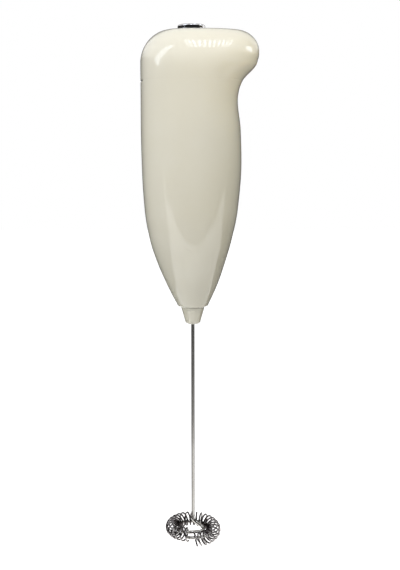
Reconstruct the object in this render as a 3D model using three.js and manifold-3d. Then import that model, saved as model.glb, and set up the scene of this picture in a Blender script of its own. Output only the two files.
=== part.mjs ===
// A battery milk whisk: a hand-held frother with a hooked cap, a push button, a motor and a coil ring.
// Millimetres. +Z is up, +X is the side of the beak, -Y is the front. The origin is on the shaft's axis,
// at the middle of the grip.
import * as THREE from "three";
import { mergeVertices } from "three/addons/utils/BufferGeometryUtils.js";
import Module from "manifold-3d";

const wasm = await Module();
wasm.setup();

// Driving sizes of the two cells and the well that holds them
const CELL_RADIUS = 7.25;
const CELL_LENGTH = 50.5;
const CELL_NUB_RADIUS = 2.75;
const CELL_NUB_HEIGHT = 1.0;
const CELL_SPACING = 0.5; // free space between the two cells
const CELL_BOTTOM = -16.5; // the cells' lower ends, below the middle of the grip
const WELL_CLEARANCE = 0.3;
const WELL_WALL = 0.8;
const WELL_WINDOW_HEIGHT = 20;
const WELL_WINDOW_WIDTH = 11;

// Driving sizes of the housing
const WALL = 1.8;
const TOP_WALL = 2.0;
const CHASSIS_GAP = 0.35; // between the chassis and the shell
const BELLY_SWELL = 1.7; // how far the belly stands out past the neck, on the beak's side
const BACK_SWELL = 2.7; // how far the back stands out past the neck
const SEAM_FLARE = 1.9; // how far the seam stands out past the neck, on the beak's side
const BEAK_LENGTH = 8.3; // how far the beak stands out past the neck
const SIDE_SPACE = 8.65; // from the well's face to the handle's front, at the belly
const RIM_RADIUS = 6.45; // the round foot of the handle
const RIM_ROUND = 1.05; // rounding of the foot's edge, inwards
const RIM_HEIGHT = 0.7; // the same, upwards
const NOSE_TAPER = 0.394; // how fast the handle narrows from the motor to its foot
const CELLS_PROUD = 6.5; // how far the cells stand out of the open handle, for the fingers
const SHOULDER_HEIGHT = 12.8; // rounding of the cap's top edge, upwards
const BEAK_SHOULDER_HEIGHT = 8; // the same at the beak
const BACK_SHOULDER = 11.6; // the same, inwards: at the back, at the beak and at the front
const BEAK_SHOULDER = 8.1;
const FRONT_SHOULDER = 9.65;
const SHOULDER_POWER = 1.94; // power of the rounding: 2 is a quarter of an oval
const BEAK_SHOULDER_POWER = 1.83;
const BEAK_DROP = 10; // from the top down to the beak's furthest point
const SQUARENESS = 2.25; // power of the rounded section: 2 is an ellipse
const LAP_HEIGHT = 5; // the tongue that the cap slides over
const LAP_GAP = 0.2;
const CAP_LAP_WALL = 0.8;
const SEAM_CHAMFER = 0.15;
const NOTCH_WIDTH = 13.6; // thumb-nail notch at the back of the seam
const NOTCH_HEIGHT = 0.7;
const NOTCH_DEPTH = 0.9;
const RIB_THICKNESS = 1.6;
const RIB_GAP = 0.4; // between a rib and the motor's cradle
const RIB_PLACE = 8; // the shell's ribs, left and right of the middle
const RIB_LAP = 1.9; // how far a rib reaches under the deck's flange

// Driving sizes of the switch in the cap
const LEAF_SPACE = 2.55; // from the cells up to the switch carrier
const CARRIER_THICKNESS = 1.6;
const CARRIER_SHORT = 0.8; // the carrier reaches less far towards the beak than towards the back
const STRIP_THICKNESS = 0.35;
const STRIP_WIDTH = 4;
const BUTTON_TRAVEL = 1.3;
const CONTACT_CLEARANCE = 0.15; // left between ring and strip when the button is down
const BRIDGE_THICKNESS = 0.4;
const FLANGE_THICKNESS = 1.0;
const FLANGE_LIP = 1.55; // how far the button's flange stands out
const BUTTON_STOP_GAP = 0.2;
const COLLAR_LENGTH = 3.45;
const COLLAR_WALL = 1.5;
const BUTTON_RADIUS = 5.45;
const BUTTON_PROUD = 1.8;
const BUTTON_ROUND = 0.3;
const BUTTON_TOP_WALL = 1.4;
const BUTTON_WALL = 1.5;
const BUTTON_SHIFT = -0.4; // the button's centre, towards the back
const BUTTON_GAP = 0.3;
const SWITCH_SPRING_RADIUS = 2.9;
const SWITCH_SPRING_WIRE = 0.5;
const SWITCH_SPRING_TURNS = 6;
const CARRIER_SCREW_PLACE = 10.5;
const SCREW_RADIUS = 0.9;
const SCREW_LENGTH = 5;
const SCREW_HEAD_RADIUS = 1.9;
const SCREW_HEAD_HEIGHT = 1.2;
const BOSS_RADIUS = 2.3;

// Driving sizes of the motor and what carries it
const DECK_THICKNESS = 1.5;
const CONTACT_SPACE = 3; // from the deck up to the cells
const MOTOR_HEADROOM = 3; // from the deck down to the motor, for the leads
const MOTOR_RADIUS = 10.2;
const MOTOR_FLAT = 7.7; // from the axis to the can's flat faces
const BELL_HEIGHT = 3.9;
const CAN_HEIGHT = 19.7;
const CAN_WALL = 0.8;
const BEARING_RADIUS = 3.1;
const BEARING_LENGTH = 1.7;
const MOTOR_SHAFT_RADIUS = 1.0;
const BEARING_GAP = 0.1;
const PRESS_GAP = 0.05;
const ARMATURE_RADIUS = 6.5;
const ARMATURE_LENGTH = 10;
const AIR_GAP = 0.5;
const MAGNET_LENGTH = 13;
const COMMUTATOR_RADIUS = 2.0;
const COMMUTATOR_LENGTH = 3.7;
const ARM_WIDTH = 8;
const ARM_THICKNESS = 1.2;
const FIT_GAP = 0.3;

// Driving sizes of the coupler, the nose cone and the whisk
const COUPLER_RADIUS = 2.5;
const COUPLER_WEB = 1.4;
const CONE_RADIUS = 4.9;
const CONE_TIP_RADIUS = 3.2;
const CONE_LENGTH = 7.55;
const CONE_ROUND = 1.2;
const SPIGOT_RADIUS = 3.7;
const SPIGOT_HEIGHT = 4.2;
const SPIGOT_WALL = 0.7;
const BUSH_RADIUS = 1.7;
const BUSH_LENGTH = 4.5;
const BUSH_GAP = 0.1;
const CONE_LIP = 0.6;
const WIRE_RADIUS = 0.7;
const WHISK_REACH = 91.3; // from the cone's tip down to the ring's plane
const RING_RADIUS = 8.95; // the middle line of the coil
const COIL_RADIUS = 2.75; // the middle of the coil's wire round that line
const COIL_WIRE_RADIUS = 0.36;
const COIL_TURNS = 28;
const COIL_START = 12; // degrees round the ring from the front, towards the back of the hand
const COIL_END = 350;
const COIL_HIGH = 1.3; // the coil climbs down as it goes round: its first height and its last
const COIL_LOW = -1.2;
const RING_WIRE_INSET = 1.2; // the ring's wire lies this far off the coil's middle line
const RING_WIRE_END = 378; // degrees

// Heights that follow from the sizes, from the cells upwards
const CELL_TOP = CELL_BOTTOM + CELL_LENGTH;
const SEAM = CELL_TOP - CELLS_PROUD;
const CARRIER_BOTTOM = CELL_TOP + LEAF_SPACE;
const CARRIER_TOP = CARRIER_BOTTOM + CARRIER_THICKNESS;
const BRIDGE_BOTTOM = CARRIER_TOP + STRIP_THICKNESS + CONTACT_CLEARANCE + BUTTON_TRAVEL;
const FLANGE_BOTTOM = BRIDGE_BOTTOM + BRIDGE_THICKNESS;
const FLANGE_TOP = FLANGE_BOTTOM + FLANGE_THICKNESS;
const COLLAR_BOTTOM = FLANGE_TOP + BUTTON_STOP_GAP;
const CEILING = COLLAR_BOTTOM + COLLAR_LENGTH;
const TOP = CEILING + TOP_WALL;
const BUTTON_TOP = TOP + BUTTON_PROUD;
const SHOULDER = TOP - SHOULDER_HEIGHT;
const BEAK_SHOULDER_FOOT = TOP - BEAK_SHOULDER_HEIGHT;
const BEAK = TOP - BEAK_DROP;
const TONGUE_TOP = SEAM + LAP_HEIGHT;

// Heights that follow from the sizes, from the cells downwards
const DECK_TOP = CELL_BOTTOM - CONTACT_SPACE;
const DECK_BOTTOM = DECK_TOP - DECK_THICKNESS;
const BELL_TOP = DECK_BOTTOM - MOTOR_HEADROOM;
const CAN_TOP = BELL_TOP - BELL_HEIGHT;
const CAN_BOTTOM = CAN_TOP - CAN_HEIGHT;
const BEARING_BOTTOM = CAN_BOTTOM - BEARING_LENGTH;
const NOSE_DROP = (MOTOR_RADIUS + FIT_GAP + WALL + 0.1 - RIM_RADIUS) / NOSE_TAPER;
const RIM_TOP = CAN_BOTTOM - NOSE_DROP;
const RIM_BOTTOM = RIM_TOP - RIM_HEIGHT;
const CONE_TIP = RIM_BOTTOM - CONE_LENGTH;
const RING_PLANE = CONE_TIP - WHISK_REACH;

// Widths that follow from the sizes
const CELL_PLACE = CELL_RADIUS + CELL_SPACING / 2;
const WELL_RADIUS = CELL_RADIUS + WELL_CLEARANCE;
const WELL_OUTER = WELL_RADIUS + WELL_WALL;
const WELL_REACH = CELL_PLACE + WELL_OUTER;
const NECK_REACH = WELL_REACH + CHASSIS_GAP + WALL;
const BELLY_REACH = NECK_REACH + BELLY_SWELL;
const BACK_REACH = NECK_REACH + BACK_SWELL;
const SEAM_REACH = NECK_REACH + SEAM_FLARE;
const BEAK_REACH = NECK_REACH + BEAK_LENGTH;
const HALF_DEPTH = WELL_OUTER + SIDE_SPACE;

const AROUND = 40; // points round the housing
const ROUND = 24; // points round small turned pieces

const root = new THREE.Group();

function finish(name, color, roughness, metalness) {
  return new THREE.MeshStandardMaterial({ name, color, roughness, metalness });
}

const cream = finish("cream_plastic", 0xdcd8c4, 0.16, 0);
const buttonChrome = finish("button_chrome", 0xd8d8dc, 0.08, 1);
const springChrome = finish("spring_chrome", 0xcccccc, 0.12, 1);
const steel = finish("bright_steel", 0xb9b7b2, 0.25, 1);
const canSteel = finish("can_steel", 0x9a9c9e, 0.4, 1);
const brass = finish("contact_brass", 0xc8a552, 0.35, 1);
const bronze = finish("bronze", 0xa87f48, 0.5, 1);
const copper = finish("copper", 0xb8692f, 0.35, 1);
const blackPlastic = finish("black_plastic", 0x232323, 0.5, 0);
const greyPlastic = finish("grey_plastic", 0x8d8f8c, 0.5, 0);
const ferrite = finish("ferrite", 0x3a3734, 0.8, 0);
const cellWrap = finish("cell_wrap", 0x2f4f6f, 0.35, 0);
const redPlastic = finish("red_plastic", 0xa8241c, 0.45, 0);

// Adds one named piece to the model.
function piece(name, geometry, material) {
  const mesh = new THREE.Mesh(facingOut(geometry), material);
  mesh.name = name;
  root.add(mesh);
}

// Only positions, with shared corners merged, as a closed solid needs.
function welded(geometry) {
  const bare = geometry.clone();
  bare.deleteAttribute("normal");
  bare.deleteAttribute("uv");
  return mergeVertices(bare, 1e-4);
}

function volumeOf(geometry) {
  const at = geometry.getAttribute("position");
  const index = geometry.index;
  const [a, b, c] = [new THREE.Vector3(), new THREE.Vector3(), new THREE.Vector3()];
  let sum = 0;
  for (let i = 0; i < index.count; i += 3) {
    a.fromBufferAttribute(at, index.getX(i));
    b.fromBufferAttribute(at, index.getX(i + 1));
    c.fromBufferAttribute(at, index.getX(i + 2));
    sum += a.dot(b.cross(c)) / 6;
  }
  return sum;
}

// A closed mesh has its faces turned outwards, whichever way its profile ran.
function facingOut(geometry) {
  const closed = welded(geometry);
  if (volumeOf(closed) < 0) {
    const index = closed.index.array;
    for (let i = 0; i < index.length; i += 3) {
      [index[i + 1], index[i + 2]] = [index[i + 2], index[i + 1]];
    }
  }
  return closed;
}

function solid(geometry) {
  const closed = facingOut(geometry);
  return new wasm.Manifold(
    new wasm.Mesh({
      numProp: 3,
      vertProperties: new Float32Array(closed.getAttribute("position").array),
      triVerts: new Uint32Array(closed.index.array),
    }),
  );
}

function fromSolid(made) {
  const mesh = made.getMesh();
  const geometry = new THREE.BufferGeometry();
  geometry.setAttribute("position", new THREE.BufferAttribute(mesh.vertProperties, 3));
  geometry.setIndex(new THREE.BufferAttribute(mesh.triVerts, 1));
  return geometry;
}

function joined(first, ...others) {
  return others.reduce((sum, next) => sum.add(solid(next)), solid(first));
}

function cut(from, ...tools) {
  return tools.reduce((left, tool) => left.subtract(solid(tool)), from);
}

// A box between two corners.
function block(low, high) {
  const size = high.map((v, i) => v - low[i]);
  const middle = high.map((v, i) => (v + low[i]) / 2);
  return new THREE.BoxGeometry(...size).translate(...middle);
}

// A turned piece round the vertical axis: its profile is pairs of radius and height.
function turned(profile, x = 0, y = 0, points = ROUND) {
  const outline = profile.map(([r, z]) => new THREE.Vector2(r, z));
  return new THREE.LatheGeometry(outline, points).rotateX(Math.PI / 2).translate(x, y, 0);
}

function rod(radius, low, high, x = 0, y = 0, points = ROUND) {
  return turned([[0, low], [radius, low], [radius, high], [0, high]], x, y, points);
}

function sleeve(inner, outer, low, high, x = 0, y = 0) {
  return turned([[inner, low], [outer, low], [outer, high], [inner, high], [inner, low]], x, y);
}

// A flat outline raised from one height to another.
function raised(shape, low, high, curveSegments = 12) {
  const options = { depth: high - low, bevelEnabled: false, curveSegments };
  return new THREE.ExtrudeGeometry(shape, options).translate(0, 0, low);
}

// Skins a row of rings that have the same number of points, and closes its two ends, or joins them
// when the row runs out along one face and back along the other.
function skinned(rings, ring = false) {
  const count = rings[0].length;
  const positions = rings.flat().flatMap((p) => [p.x, p.y, p.z]);
  const faces = [];
  const rows = ring ? rings.length : rings.length - 1;
  for (let row = 0; row < rows; row++) {
    const next = (row + 1) % rings.length;
    for (let i = 0; i < count; i++) {
      const j = (i + 1) % count;
      const [a, b, c, d] = [row * count + i, row * count + j, next * count + j, next * count + i];
      faces.push(a, b, c, a, c, d);
    }
  }
  if (!ring) {
    for (const row of [0, rings.length - 1]) {
      const centre = positions.length / 3;
      const sum = rings[row].reduce((s, p) => s.add(p), new THREE.Vector3());
      sum.divideScalar(count);
      positions.push(sum.x, sum.y, sum.z);
      for (let i = 0; i < count; i++) {
        const j = (i + 1) % count;
        const [a, b] = row === 0 ? [j, i] : [i, j];
        faces.push(centre, row * count + a, row * count + b);
      }
    }
  }
  const geometry = new THREE.BufferGeometry();
  geometry.setAttribute("position", new THREE.Float32BufferAttribute(positions, 3));
  geometry.setIndex(faces);
  return geometry;
}

// A round wire along a row of points, without twist.
function wire(points, radius, sides) {
  const rings = [];
  const normal = new THREE.Vector3();
  let before = null;
  points.forEach((point, i) => {
    const ahead = points[Math.min(i + 1, points.length - 1)];
    const behind = points[Math.max(i - 1, 0)];
    const along = ahead.clone().sub(behind).normalize();
    if (before) {
      normal.applyQuaternion(new THREE.Quaternion().setFromUnitVectors(before, along));
    } else {
      const aside = Math.abs(along.x) < 0.9 ? new THREE.Vector3(1, 0, 0) : new THREE.Vector3(0, 1, 0);
      normal.copy(aside).addScaledVector(along, -aside.dot(along)).normalize();
    }
    before = along;
    const other = along.clone().cross(normal);
    const ring = [];
    for (let k = 0; k < sides; k++) {
      const angle = (2 * Math.PI * k) / sides;
      const spoke = normal.clone().multiplyScalar(Math.cos(angle) * radius);
      ring.push(spoke.addScaledVector(other, Math.sin(angle) * radius).add(point));
    }
    rings.push(ring);
  });
  return skinned(rings);
}

// A metal strip bent along a path seen from the front, and extruded through the depth.
function strip(path, thickness, width) {
  const points = path.map(([x, z]) => new THREE.Vector2(x, z));
  const sideOf = (i) => {
    const a = points[Math.max(i - 1, 0)];
    const b = points[i];
    const c = points[Math.min(i + 1, points.length - 1)];
    const first = b.clone().sub(a).normalize();
    const second = c.clone().sub(b).normalize();
    if (i === 0) first.copy(second);
    if (i === points.length - 1) second.copy(first);
    const middle = first.clone().add(second).normalize();
    const across = new THREE.Vector2(-middle.y, middle.x);
    return across.multiplyScalar(1 / Math.max(0.35, middle.dot(first)));
  };
  const left = points.map((p, i) => p.clone().addScaledVector(sideOf(i), thickness / 2));
  const right = points.map((p, i) => p.clone().addScaledVector(sideOf(i), -thickness / 2));
  const shape = new THREE.Shape([...left, ...right.reverse()]);
  return raised(shape, -width / 2, width / 2).rotateX(Math.PI / 2);
}

// A smooth curve through stations of place and value, which never overshoots them.
function smooth(stations) {
  const n = stations.length;
  const step = [];
  for (let i = 0; i < n - 1; i++) {
    step.push((stations[i + 1][1] - stations[i][1]) / (stations[i + 1][0] - stations[i][0]));
  }
  const slope = stations.map((s, i) => {
    if (i === 0) return step[0];
    if (i === n - 1) return step[n - 2];
    const [a, b] = [step[i - 1], step[i]];
    return a * b <= 0 ? 0 : (2 * a * b) / (a + b);
  });
  return (place) => {
    if (place <= stations[0][0]) return stations[0][1];
    if (place >= stations[n - 1][0]) return stations[n - 1][1];
    const i = stations.findIndex((s, k) => k > 0 && place <= s[0]) - 1;
    const [x0, y0] = stations[i];
    const [x1, y1] = stations[i + 1];
    const run = x1 - x0;
    const t = (place - x0) / run;
    return (
      y0 * (2 * t ** 3 - 3 * t ** 2 + 1) +
      slope[i] * run * (t ** 3 - 2 * t ** 2 + t) +
      y1 * (3 * t ** 2 - 2 * t ** 3) +
      slope[i + 1] * run * (t ** 3 - t ** 2)
    );
  };
}

// The housing's outline in three profiles: back, beak side and depth. Below the seam a station is a share
// of the height from the foot to the seam, and above it a share of the height up to the beak.
const heightAt = (share) => RIM_TOP + share * (SEAM - RIM_TOP);
const riseAt = (share) => SEAM + share * (BEAK - SEAM);
const between = (low, high, share) => low + share * (high - low);

const backProfile = smooth([
  [heightAt(0), RIM_RADIUS],
  [heightAt(0.042), between(RIM_RADIUS, BACK_REACH, 0.142)],
  [heightAt(0.112), between(RIM_RADIUS, BACK_REACH, 0.352)],
  [heightAt(0.204), between(RIM_RADIUS, BACK_REACH, 0.592)],
  [heightAt(0.296), between(RIM_RADIUS, BACK_REACH, 0.772)],
  [heightAt(0.432), between(RIM_RADIUS, BACK_REACH, 0.917)],
  [heightAt(0.612), between(RIM_RADIUS, BACK_REACH, 0.982)],
  [heightAt(0.788), BACK_REACH],
  [heightAt(1), between(RIM_RADIUS, BACK_REACH, 0.994)],
  [BEAK, between(RIM_RADIUS, BACK_REACH, 0.994)],
]);

const beakProfile = smooth([
  [heightAt(0), RIM_RADIUS],
  [heightAt(0.042), between(RIM_RADIUS, BELLY_REACH, 0.134)],
  [heightAt(0.112), between(RIM_RADIUS, BELLY_REACH, 0.332)],
  [heightAt(0.204), between(RIM_RADIUS, BELLY_REACH, 0.534)],
  [heightAt(0.296), between(RIM_RADIUS, BELLY_REACH, 0.712)],
  [heightAt(0.432), between(RIM_RADIUS, BELLY_REACH, 0.896)],
  [heightAt(0.64), BELLY_REACH],
  [heightAt(0.788), between(NECK_REACH, BELLY_REACH, 0.75)],
  [heightAt(0.918), NECK_REACH],
  [heightAt(0.961), between(NECK_REACH, SEAM_REACH, 0.28)],
  [heightAt(1), SEAM_REACH],
  [riseAt(0.242), between(SEAM_REACH, BEAK_REACH, 0.29)],
  [riseAt(0.442), between(SEAM_REACH, BEAK_REACH, 0.602)],
  [riseAt(0.653), between(SEAM_REACH, BEAK_REACH, 0.844)],
  [riseAt(1), BEAK_REACH],
]);

const depthProfile = smooth([
  [heightAt(0), RIM_RADIUS],
  [heightAt(0.042), between(RIM_RADIUS, HALF_DEPTH, 0.15)],
  [heightAt(0.112), between(RIM_RADIUS, HALF_DEPTH, 0.4)],
  [heightAt(0.204), between(RIM_RADIUS, HALF_DEPTH, 0.63)],
  [heightAt(0.296), between(RIM_RADIUS, HALF_DEPTH, 0.79)],
  [heightAt(0.432), between(RIM_RADIUS, HALF_DEPTH, 0.92)],
  [heightAt(0.612), between(RIM_RADIUS, HALF_DEPTH, 0.99)],
  [heightAt(0.75), HALF_DEPTH],
  [heightAt(1), between(RIM_RADIUS, HALF_DEPTH, 0.96)],
  [BEAK, between(RIM_RADIUS, HALF_DEPTH, 0.95)],
]);

// A reach measured square to the surface: a slanted wall takes a wider step inwards to keep its thickness.
function reachAt(profile, z, inset) {
  const span = 0.5;
  const slope = (profile(z + span) - profile(z - span)) / (2 * span);
  return profile(z) - inset * Math.hypot(1, slope);
}

// Rounds the top edge: about a quarter of an oval from the shoulder's foot to the top.
function shouldered(reach, z, foot, top, run, power) {
  const share = Math.min(1, Math.max(0, (z - foot) / (top - foot)));
  return reach - run * (1 - (1 - share ** power) ** (1 / power));
}

function ringOf(z, back, beak, depth, power) {
  const ring = [];
  for (let i = 0; i < AROUND; i++) {
    const angle = (2 * Math.PI * i) / AROUND;
    const [c, s] = [Math.cos(angle), Math.sin(angle)];
    const x = Math.sign(c) * Math.abs(c) ** (2 / power) * (c > 0 ? beak : back);
    const y = Math.sign(s) * Math.abs(s) ** (2 / power) * depth;
    ring.push(new THREE.Vector3(x, y, z));
  }
  return ring;
}

// The power of the section grows from a circle at the foot to the handle's squarer oval.
function powerAt(z) {
  const share = Math.min(1, Math.max(0, (z - RIM_TOP) / (heightAt(0.4) - RIM_TOP)));
  return between(2, SQUARENESS, share * share * (3 - 2 * share));
}

// The housing's section at a height, set in from its outer face and placed at another height if wished.
function sectionAt(z, inset = 0, placed = z) {
  return ringOf(
    placed,
    reachAt(backProfile, z, inset),
    reachAt(beakProfile, z, inset),
    reachAt(depthProfile, z, inset),
    powerAt(z),
  );
}

// The cap's reach at a height: the same three profiles with the rounded top edge.
function capReachAt(z, inset, top) {
  const flat = [backProfile, beakProfile, depthProfile].map((profile) => reachAt(profile, z, inset));
  return {
    back: shouldered(flat[0], z, SHOULDER, top, BACK_SHOULDER - inset, SHOULDER_POWER),
    beak: shouldered(flat[1], z, BEAK_SHOULDER_FOOT, top, BEAK_SHOULDER - inset, BEAK_SHOULDER_POWER),
    depth: shouldered(flat[2], z, SHOULDER, top, FRONT_SHOULDER - inset, SHOULDER_POWER),
  };
}

function capSectionAt(z, inset = 0, top = TOP) {
  const { back, beak, depth } = capReachAt(z, inset, top);
  return ringOf(z, back, beak, depth, SQUARENESS);
}

const steps = (count) => Array.from({ length: count + 1 }, (_, i) => i / count);
const circle = (radius, z) => ringOf(z, radius, radius, radius, 2);

// The rings of the cap's face from one height up to its flat top, closer together round the shoulder.
function capRings(from, inset, top) {
  const count = Math.max(1, Math.ceil((SHOULDER - from) / 1.4));
  const straight = steps(count).slice(0, -1).map((t) => between(from, SHOULDER, t));
  const bend = steps(8).map((t) => between(SHOULDER, top, Math.sin((t * Math.PI) / 2)));
  return [...straight, ...bend].map((z) => capSectionAt(z, inset, top));
}

function makeBodyShell() {
  const spigotHole = SPIGOT_RADIUS + FIT_GAP;
  const floor = RIM_BOTTOM + TOP_WALL + 0.25;
  const outer = steps(22).slice(1).map((t) => between(RIM_TOP, SEAM - SEAM_CHAMFER, t));
  const inner = steps(12).map((t) => between(SEAM, floor, t));
  const lapInset = CAP_LAP_WALL + LAP_GAP;
  const rings = [
    circle(spigotHole, RIM_BOTTOM),
    circle(RIM_RADIUS - RIM_ROUND, RIM_BOTTOM),
    circle(RIM_RADIUS - 0.3 * RIM_ROUND, RIM_BOTTOM + 0.3 * RIM_HEIGHT),
    circle(RIM_RADIUS, RIM_TOP),
    ...outer.map((z) => sectionAt(z)),
    sectionAt(SEAM, SEAM_CHAMFER),
    sectionAt(SEAM, lapInset),
    sectionAt(SEAM, lapInset, TONGUE_TOP),
    sectionAt(SEAM, WALL, TONGUE_TOP),
    ...inner.map((z) => sectionAt(z, WALL)),
    circle(spigotHole, floor),
  ];
  const core = solid(skinned(steps(12).map((t) => sectionAt(between(RIM_TOP, SEAM, t), WALL / 2))));
  let shell = solid(skinned(rings, true));
  const ribFoot = CAN_BOTTOM + 3;
  for (const side of [-1, 1]) {
    for (const face of [-1, 1]) {
      const x = [side * RIB_PLACE - RIB_THICKNESS / 2, side * RIB_PLACE + RIB_THICKNESS / 2];
      const y = [face * ribReach(), face * 2 * HALF_DEPTH].sort((a, b) => a - b);
      const rib = solid(block([x[0], y[0], ribFoot], [x[1], y[1], DECK_BOTTOM]));
      shell = shell.add(rib.intersect(core));
    }
  }
  const notchFloor = reachAt(backProfile, SEAM, NOTCH_DEPTH);
  const notch = block(
    [-2 * BACK_REACH, -NOTCH_WIDTH / 2, SEAM - NOTCH_HEIGHT],
    [-notchFloor, NOTCH_WIDTH / 2, SEAM + 1],
  );
  return fromSolid(cut(shell, notch));
}

// Where the shell's ribs begin, measured from the middle plane: just outside the chassis' motor arms.
function ribReach() {
  return MOTOR_FLAT + FIT_GAP + ARM_THICKNESS + RIB_GAP;
}

function makeTopCap() {
  const lapInset = CAP_LAP_WALL;
  const outside = [sectionAt(SEAM, SEAM_CHAMFER), ...capRings(SEAM + SEAM_CHAMFER, 0, TOP)];
  const lapTop = TONGUE_TOP + FIT_GAP;
  const lap = [sectionAt(SEAM, lapInset, SEAM - 1), sectionAt(SEAM, lapInset, lapTop)];
  const hollow = [sectionAt(SEAM, WALL, lapTop - 0.5), ...capRings(lapTop, WALL, CEILING)];
  const holeRadius = BUTTON_RADIUS + BUTTON_GAP;
  const core = solid(skinned(capRings(lapTop, WALL / 2, CEILING + TOP_WALL / 2)));
  let cap = cut(solid(skinned(outside)), skinned(lap), skinned(hollow));
  const collar = rod(holeRadius + COLLAR_WALL, COLLAR_BOTTOM, CEILING + TOP_WALL / 2, BUTTON_SHIFT);
  cap = cap.add(solid(collar));
  for (const face of [-1, 1]) {
    const y = face * CARRIER_SCREW_PLACE;
    cap = cap.add(solid(rod(BOSS_RADIUS, CARRIER_TOP, TOP, 0, y)).intersect(core));
    cap = cut(cap, rod(SCREW_RADIUS + BEARING_GAP, CARRIER_TOP - 1, CARRIER_TOP + pilotDepth(), 0, y));
  }
  return fromSolid(cut(cap, rod(holeRadius, COLLAR_BOTTOM - 1, TOP + 1, BUTTON_SHIFT)));
}

// The screw's point stops short of its pilot hole's end.
function pilotDepth() {
  return SCREW_LENGTH - CARRIER_THICKNESS + FIT_GAP;
}

function makeButton() {
  const cavity = BUTTON_RADIUS - BUTTON_WALL;
  const edge = steps(3).map((t) => {
    const angle = (t * Math.PI) / 2;
    const inwards = BUTTON_ROUND * (1 - Math.cos(angle));
    return [BUTTON_RADIUS - inwards, BUTTON_TOP - BUTTON_ROUND * (1 - Math.sin(angle))];
  });
  return turned(
    [
      [0, BUTTON_TOP - BUTTON_TOP_WALL],
      [cavity, BUTTON_TOP - BUTTON_TOP_WALL],
      [cavity, FLANGE_BOTTOM],
      [BUTTON_RADIUS + FLANGE_LIP, FLANGE_BOTTOM],
      [BUTTON_RADIUS + FLANGE_LIP, FLANGE_TOP],
      [BUTTON_RADIUS, FLANGE_TOP],
      ...edge,
      [0, BUTTON_TOP],
    ],
    BUTTON_SHIFT,
  );
}

const BRIDGE_INNER = BUTTON_RADIUS - 1.4;
const BRIDGE_OUTER = BUTTON_RADIUS + 1.2;
const SLOT_PLACE = BRIDGE_OUTER + 6.4; // where the strips go down through the carrier

function makeSwitchCarrier() {
  const { back, depth } = capReachAt(CARRIER_TOP, WALL + FIT_GAP, CEILING);
  const outline = (z) => ringOf(z, back, back - CARRIER_SHORT, depth, SQUARENESS);
  const plate = skinned([outline(CARRIER_BOTTOM), outline(CARRIER_TOP)]);
  const pin = rod(SWITCH_SPRING_RADIUS - 1.7, CARRIER_BOTTOM + 0.5, CARRIER_TOP + 2, BUTTON_SHIFT);
  const tools = [];
  for (const side of [-1, 1]) {
    const x = BUTTON_SHIFT + side * SLOT_PLACE;
    const half = STRIP_THICKNESS / 2 + FIT_GAP;
    const reach = STRIP_WIDTH / 2 + FIT_GAP;
    const [low, high] = [CARRIER_BOTTOM - 1, CARRIER_TOP + 1];
    tools.push(block([x - half, -reach, low], [x + half, reach, high]));
    tools.push(rod(SCREW_RADIUS + FIT_GAP, low, high, 0, side * CARRIER_SCREW_PLACE));
  }
  return fromSolid(cut(joined(plate, pin), ...tools));
}

function makeContactStrip(side) {
  const z = CARRIER_TOP + STRIP_THICKNESS / 2;
  const slot = BUTTON_SHIFT + side * SLOT_PLACE;
  const tip = CELL_TOP + FIT_GAP + STRIP_THICKNESS / 2;
  const path = [
    [BUTTON_SHIFT + side * (BRIDGE_INNER + 0.3), z],
    [slot, z],
    [slot, CARRIER_BOTTOM - 0.5],
    [side * (CELL_PLACE + 1.5), tip],
    [side * CELL_PLACE, tip],
    [side * (CELL_PLACE - 1.6), tip + 0.9],
  ];
  return strip(path, STRIP_THICKNESS, STRIP_WIDTH);
}

function makeScrew(y) {
  const seat = CARRIER_BOTTOM;
  return turned(
    [
      [0, seat - SCREW_HEAD_HEIGHT],
      [SCREW_HEAD_RADIUS * 0.8, seat - SCREW_HEAD_HEIGHT],
      [SCREW_HEAD_RADIUS, seat - SCREW_HEAD_HEIGHT / 2],
      [SCREW_HEAD_RADIUS, seat],
      [SCREW_RADIUS, seat],
      [SCREW_RADIUS, seat + SCREW_LENGTH - SCREW_RADIUS],
      [0, seat + SCREW_LENGTH],
    ],
    0,
    y,
    16,
  );
}

// Points of a coil round the vertical axis; each end may have a radius of its own.
function coilPoints(turns, low, high, lowRadius, highRadius, x) {
  return steps(turns * 8).map((t) => {
    const angle = 2 * Math.PI * turns * t;
    const radius = between(lowRadius, highRadius, t);
    return new THREE.Vector3(
      x + radius * Math.cos(angle),
      radius * Math.sin(angle),
      between(low, high, t),
    );
  });
}

function makeButtonSpring() {
  const half = SWITCH_SPRING_WIRE / 2;
  const low = CARRIER_TOP + half + FIT_GAP / 2;
  const high = BUTTON_TOP - BUTTON_TOP_WALL - half - FIT_GAP / 2;
  const r = SWITCH_SPRING_RADIUS;
  return wire(coilPoints(SWITCH_SPRING_TURNS, low, high, r, r, BUTTON_SHIFT), half, 5);
}

// A long hole with round ends, or the outline of the well round the two cells.
function stadium(radius) {
  const shape = new THREE.Shape();
  shape.absarc(CELL_PLACE, 0, radius, -Math.PI / 2, Math.PI / 2);
  shape.absarc(-CELL_PLACE, 0, radius, Math.PI / 2, (3 * Math.PI) / 2);
  return shape;
}

// The contacts under the cells, and the place where their tails go down through the deck
const TAIL_RADIUS = 0.35;
const TAIL_LENGTH = 1.2; // below the deck
const PLATE_THICKNESS = 0.4;
const PLATE_WIDTH = 7;
const TAB_WIDTH = 2.4;
const CONTACT_TAB = CELL_PLACE - 4;

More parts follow.
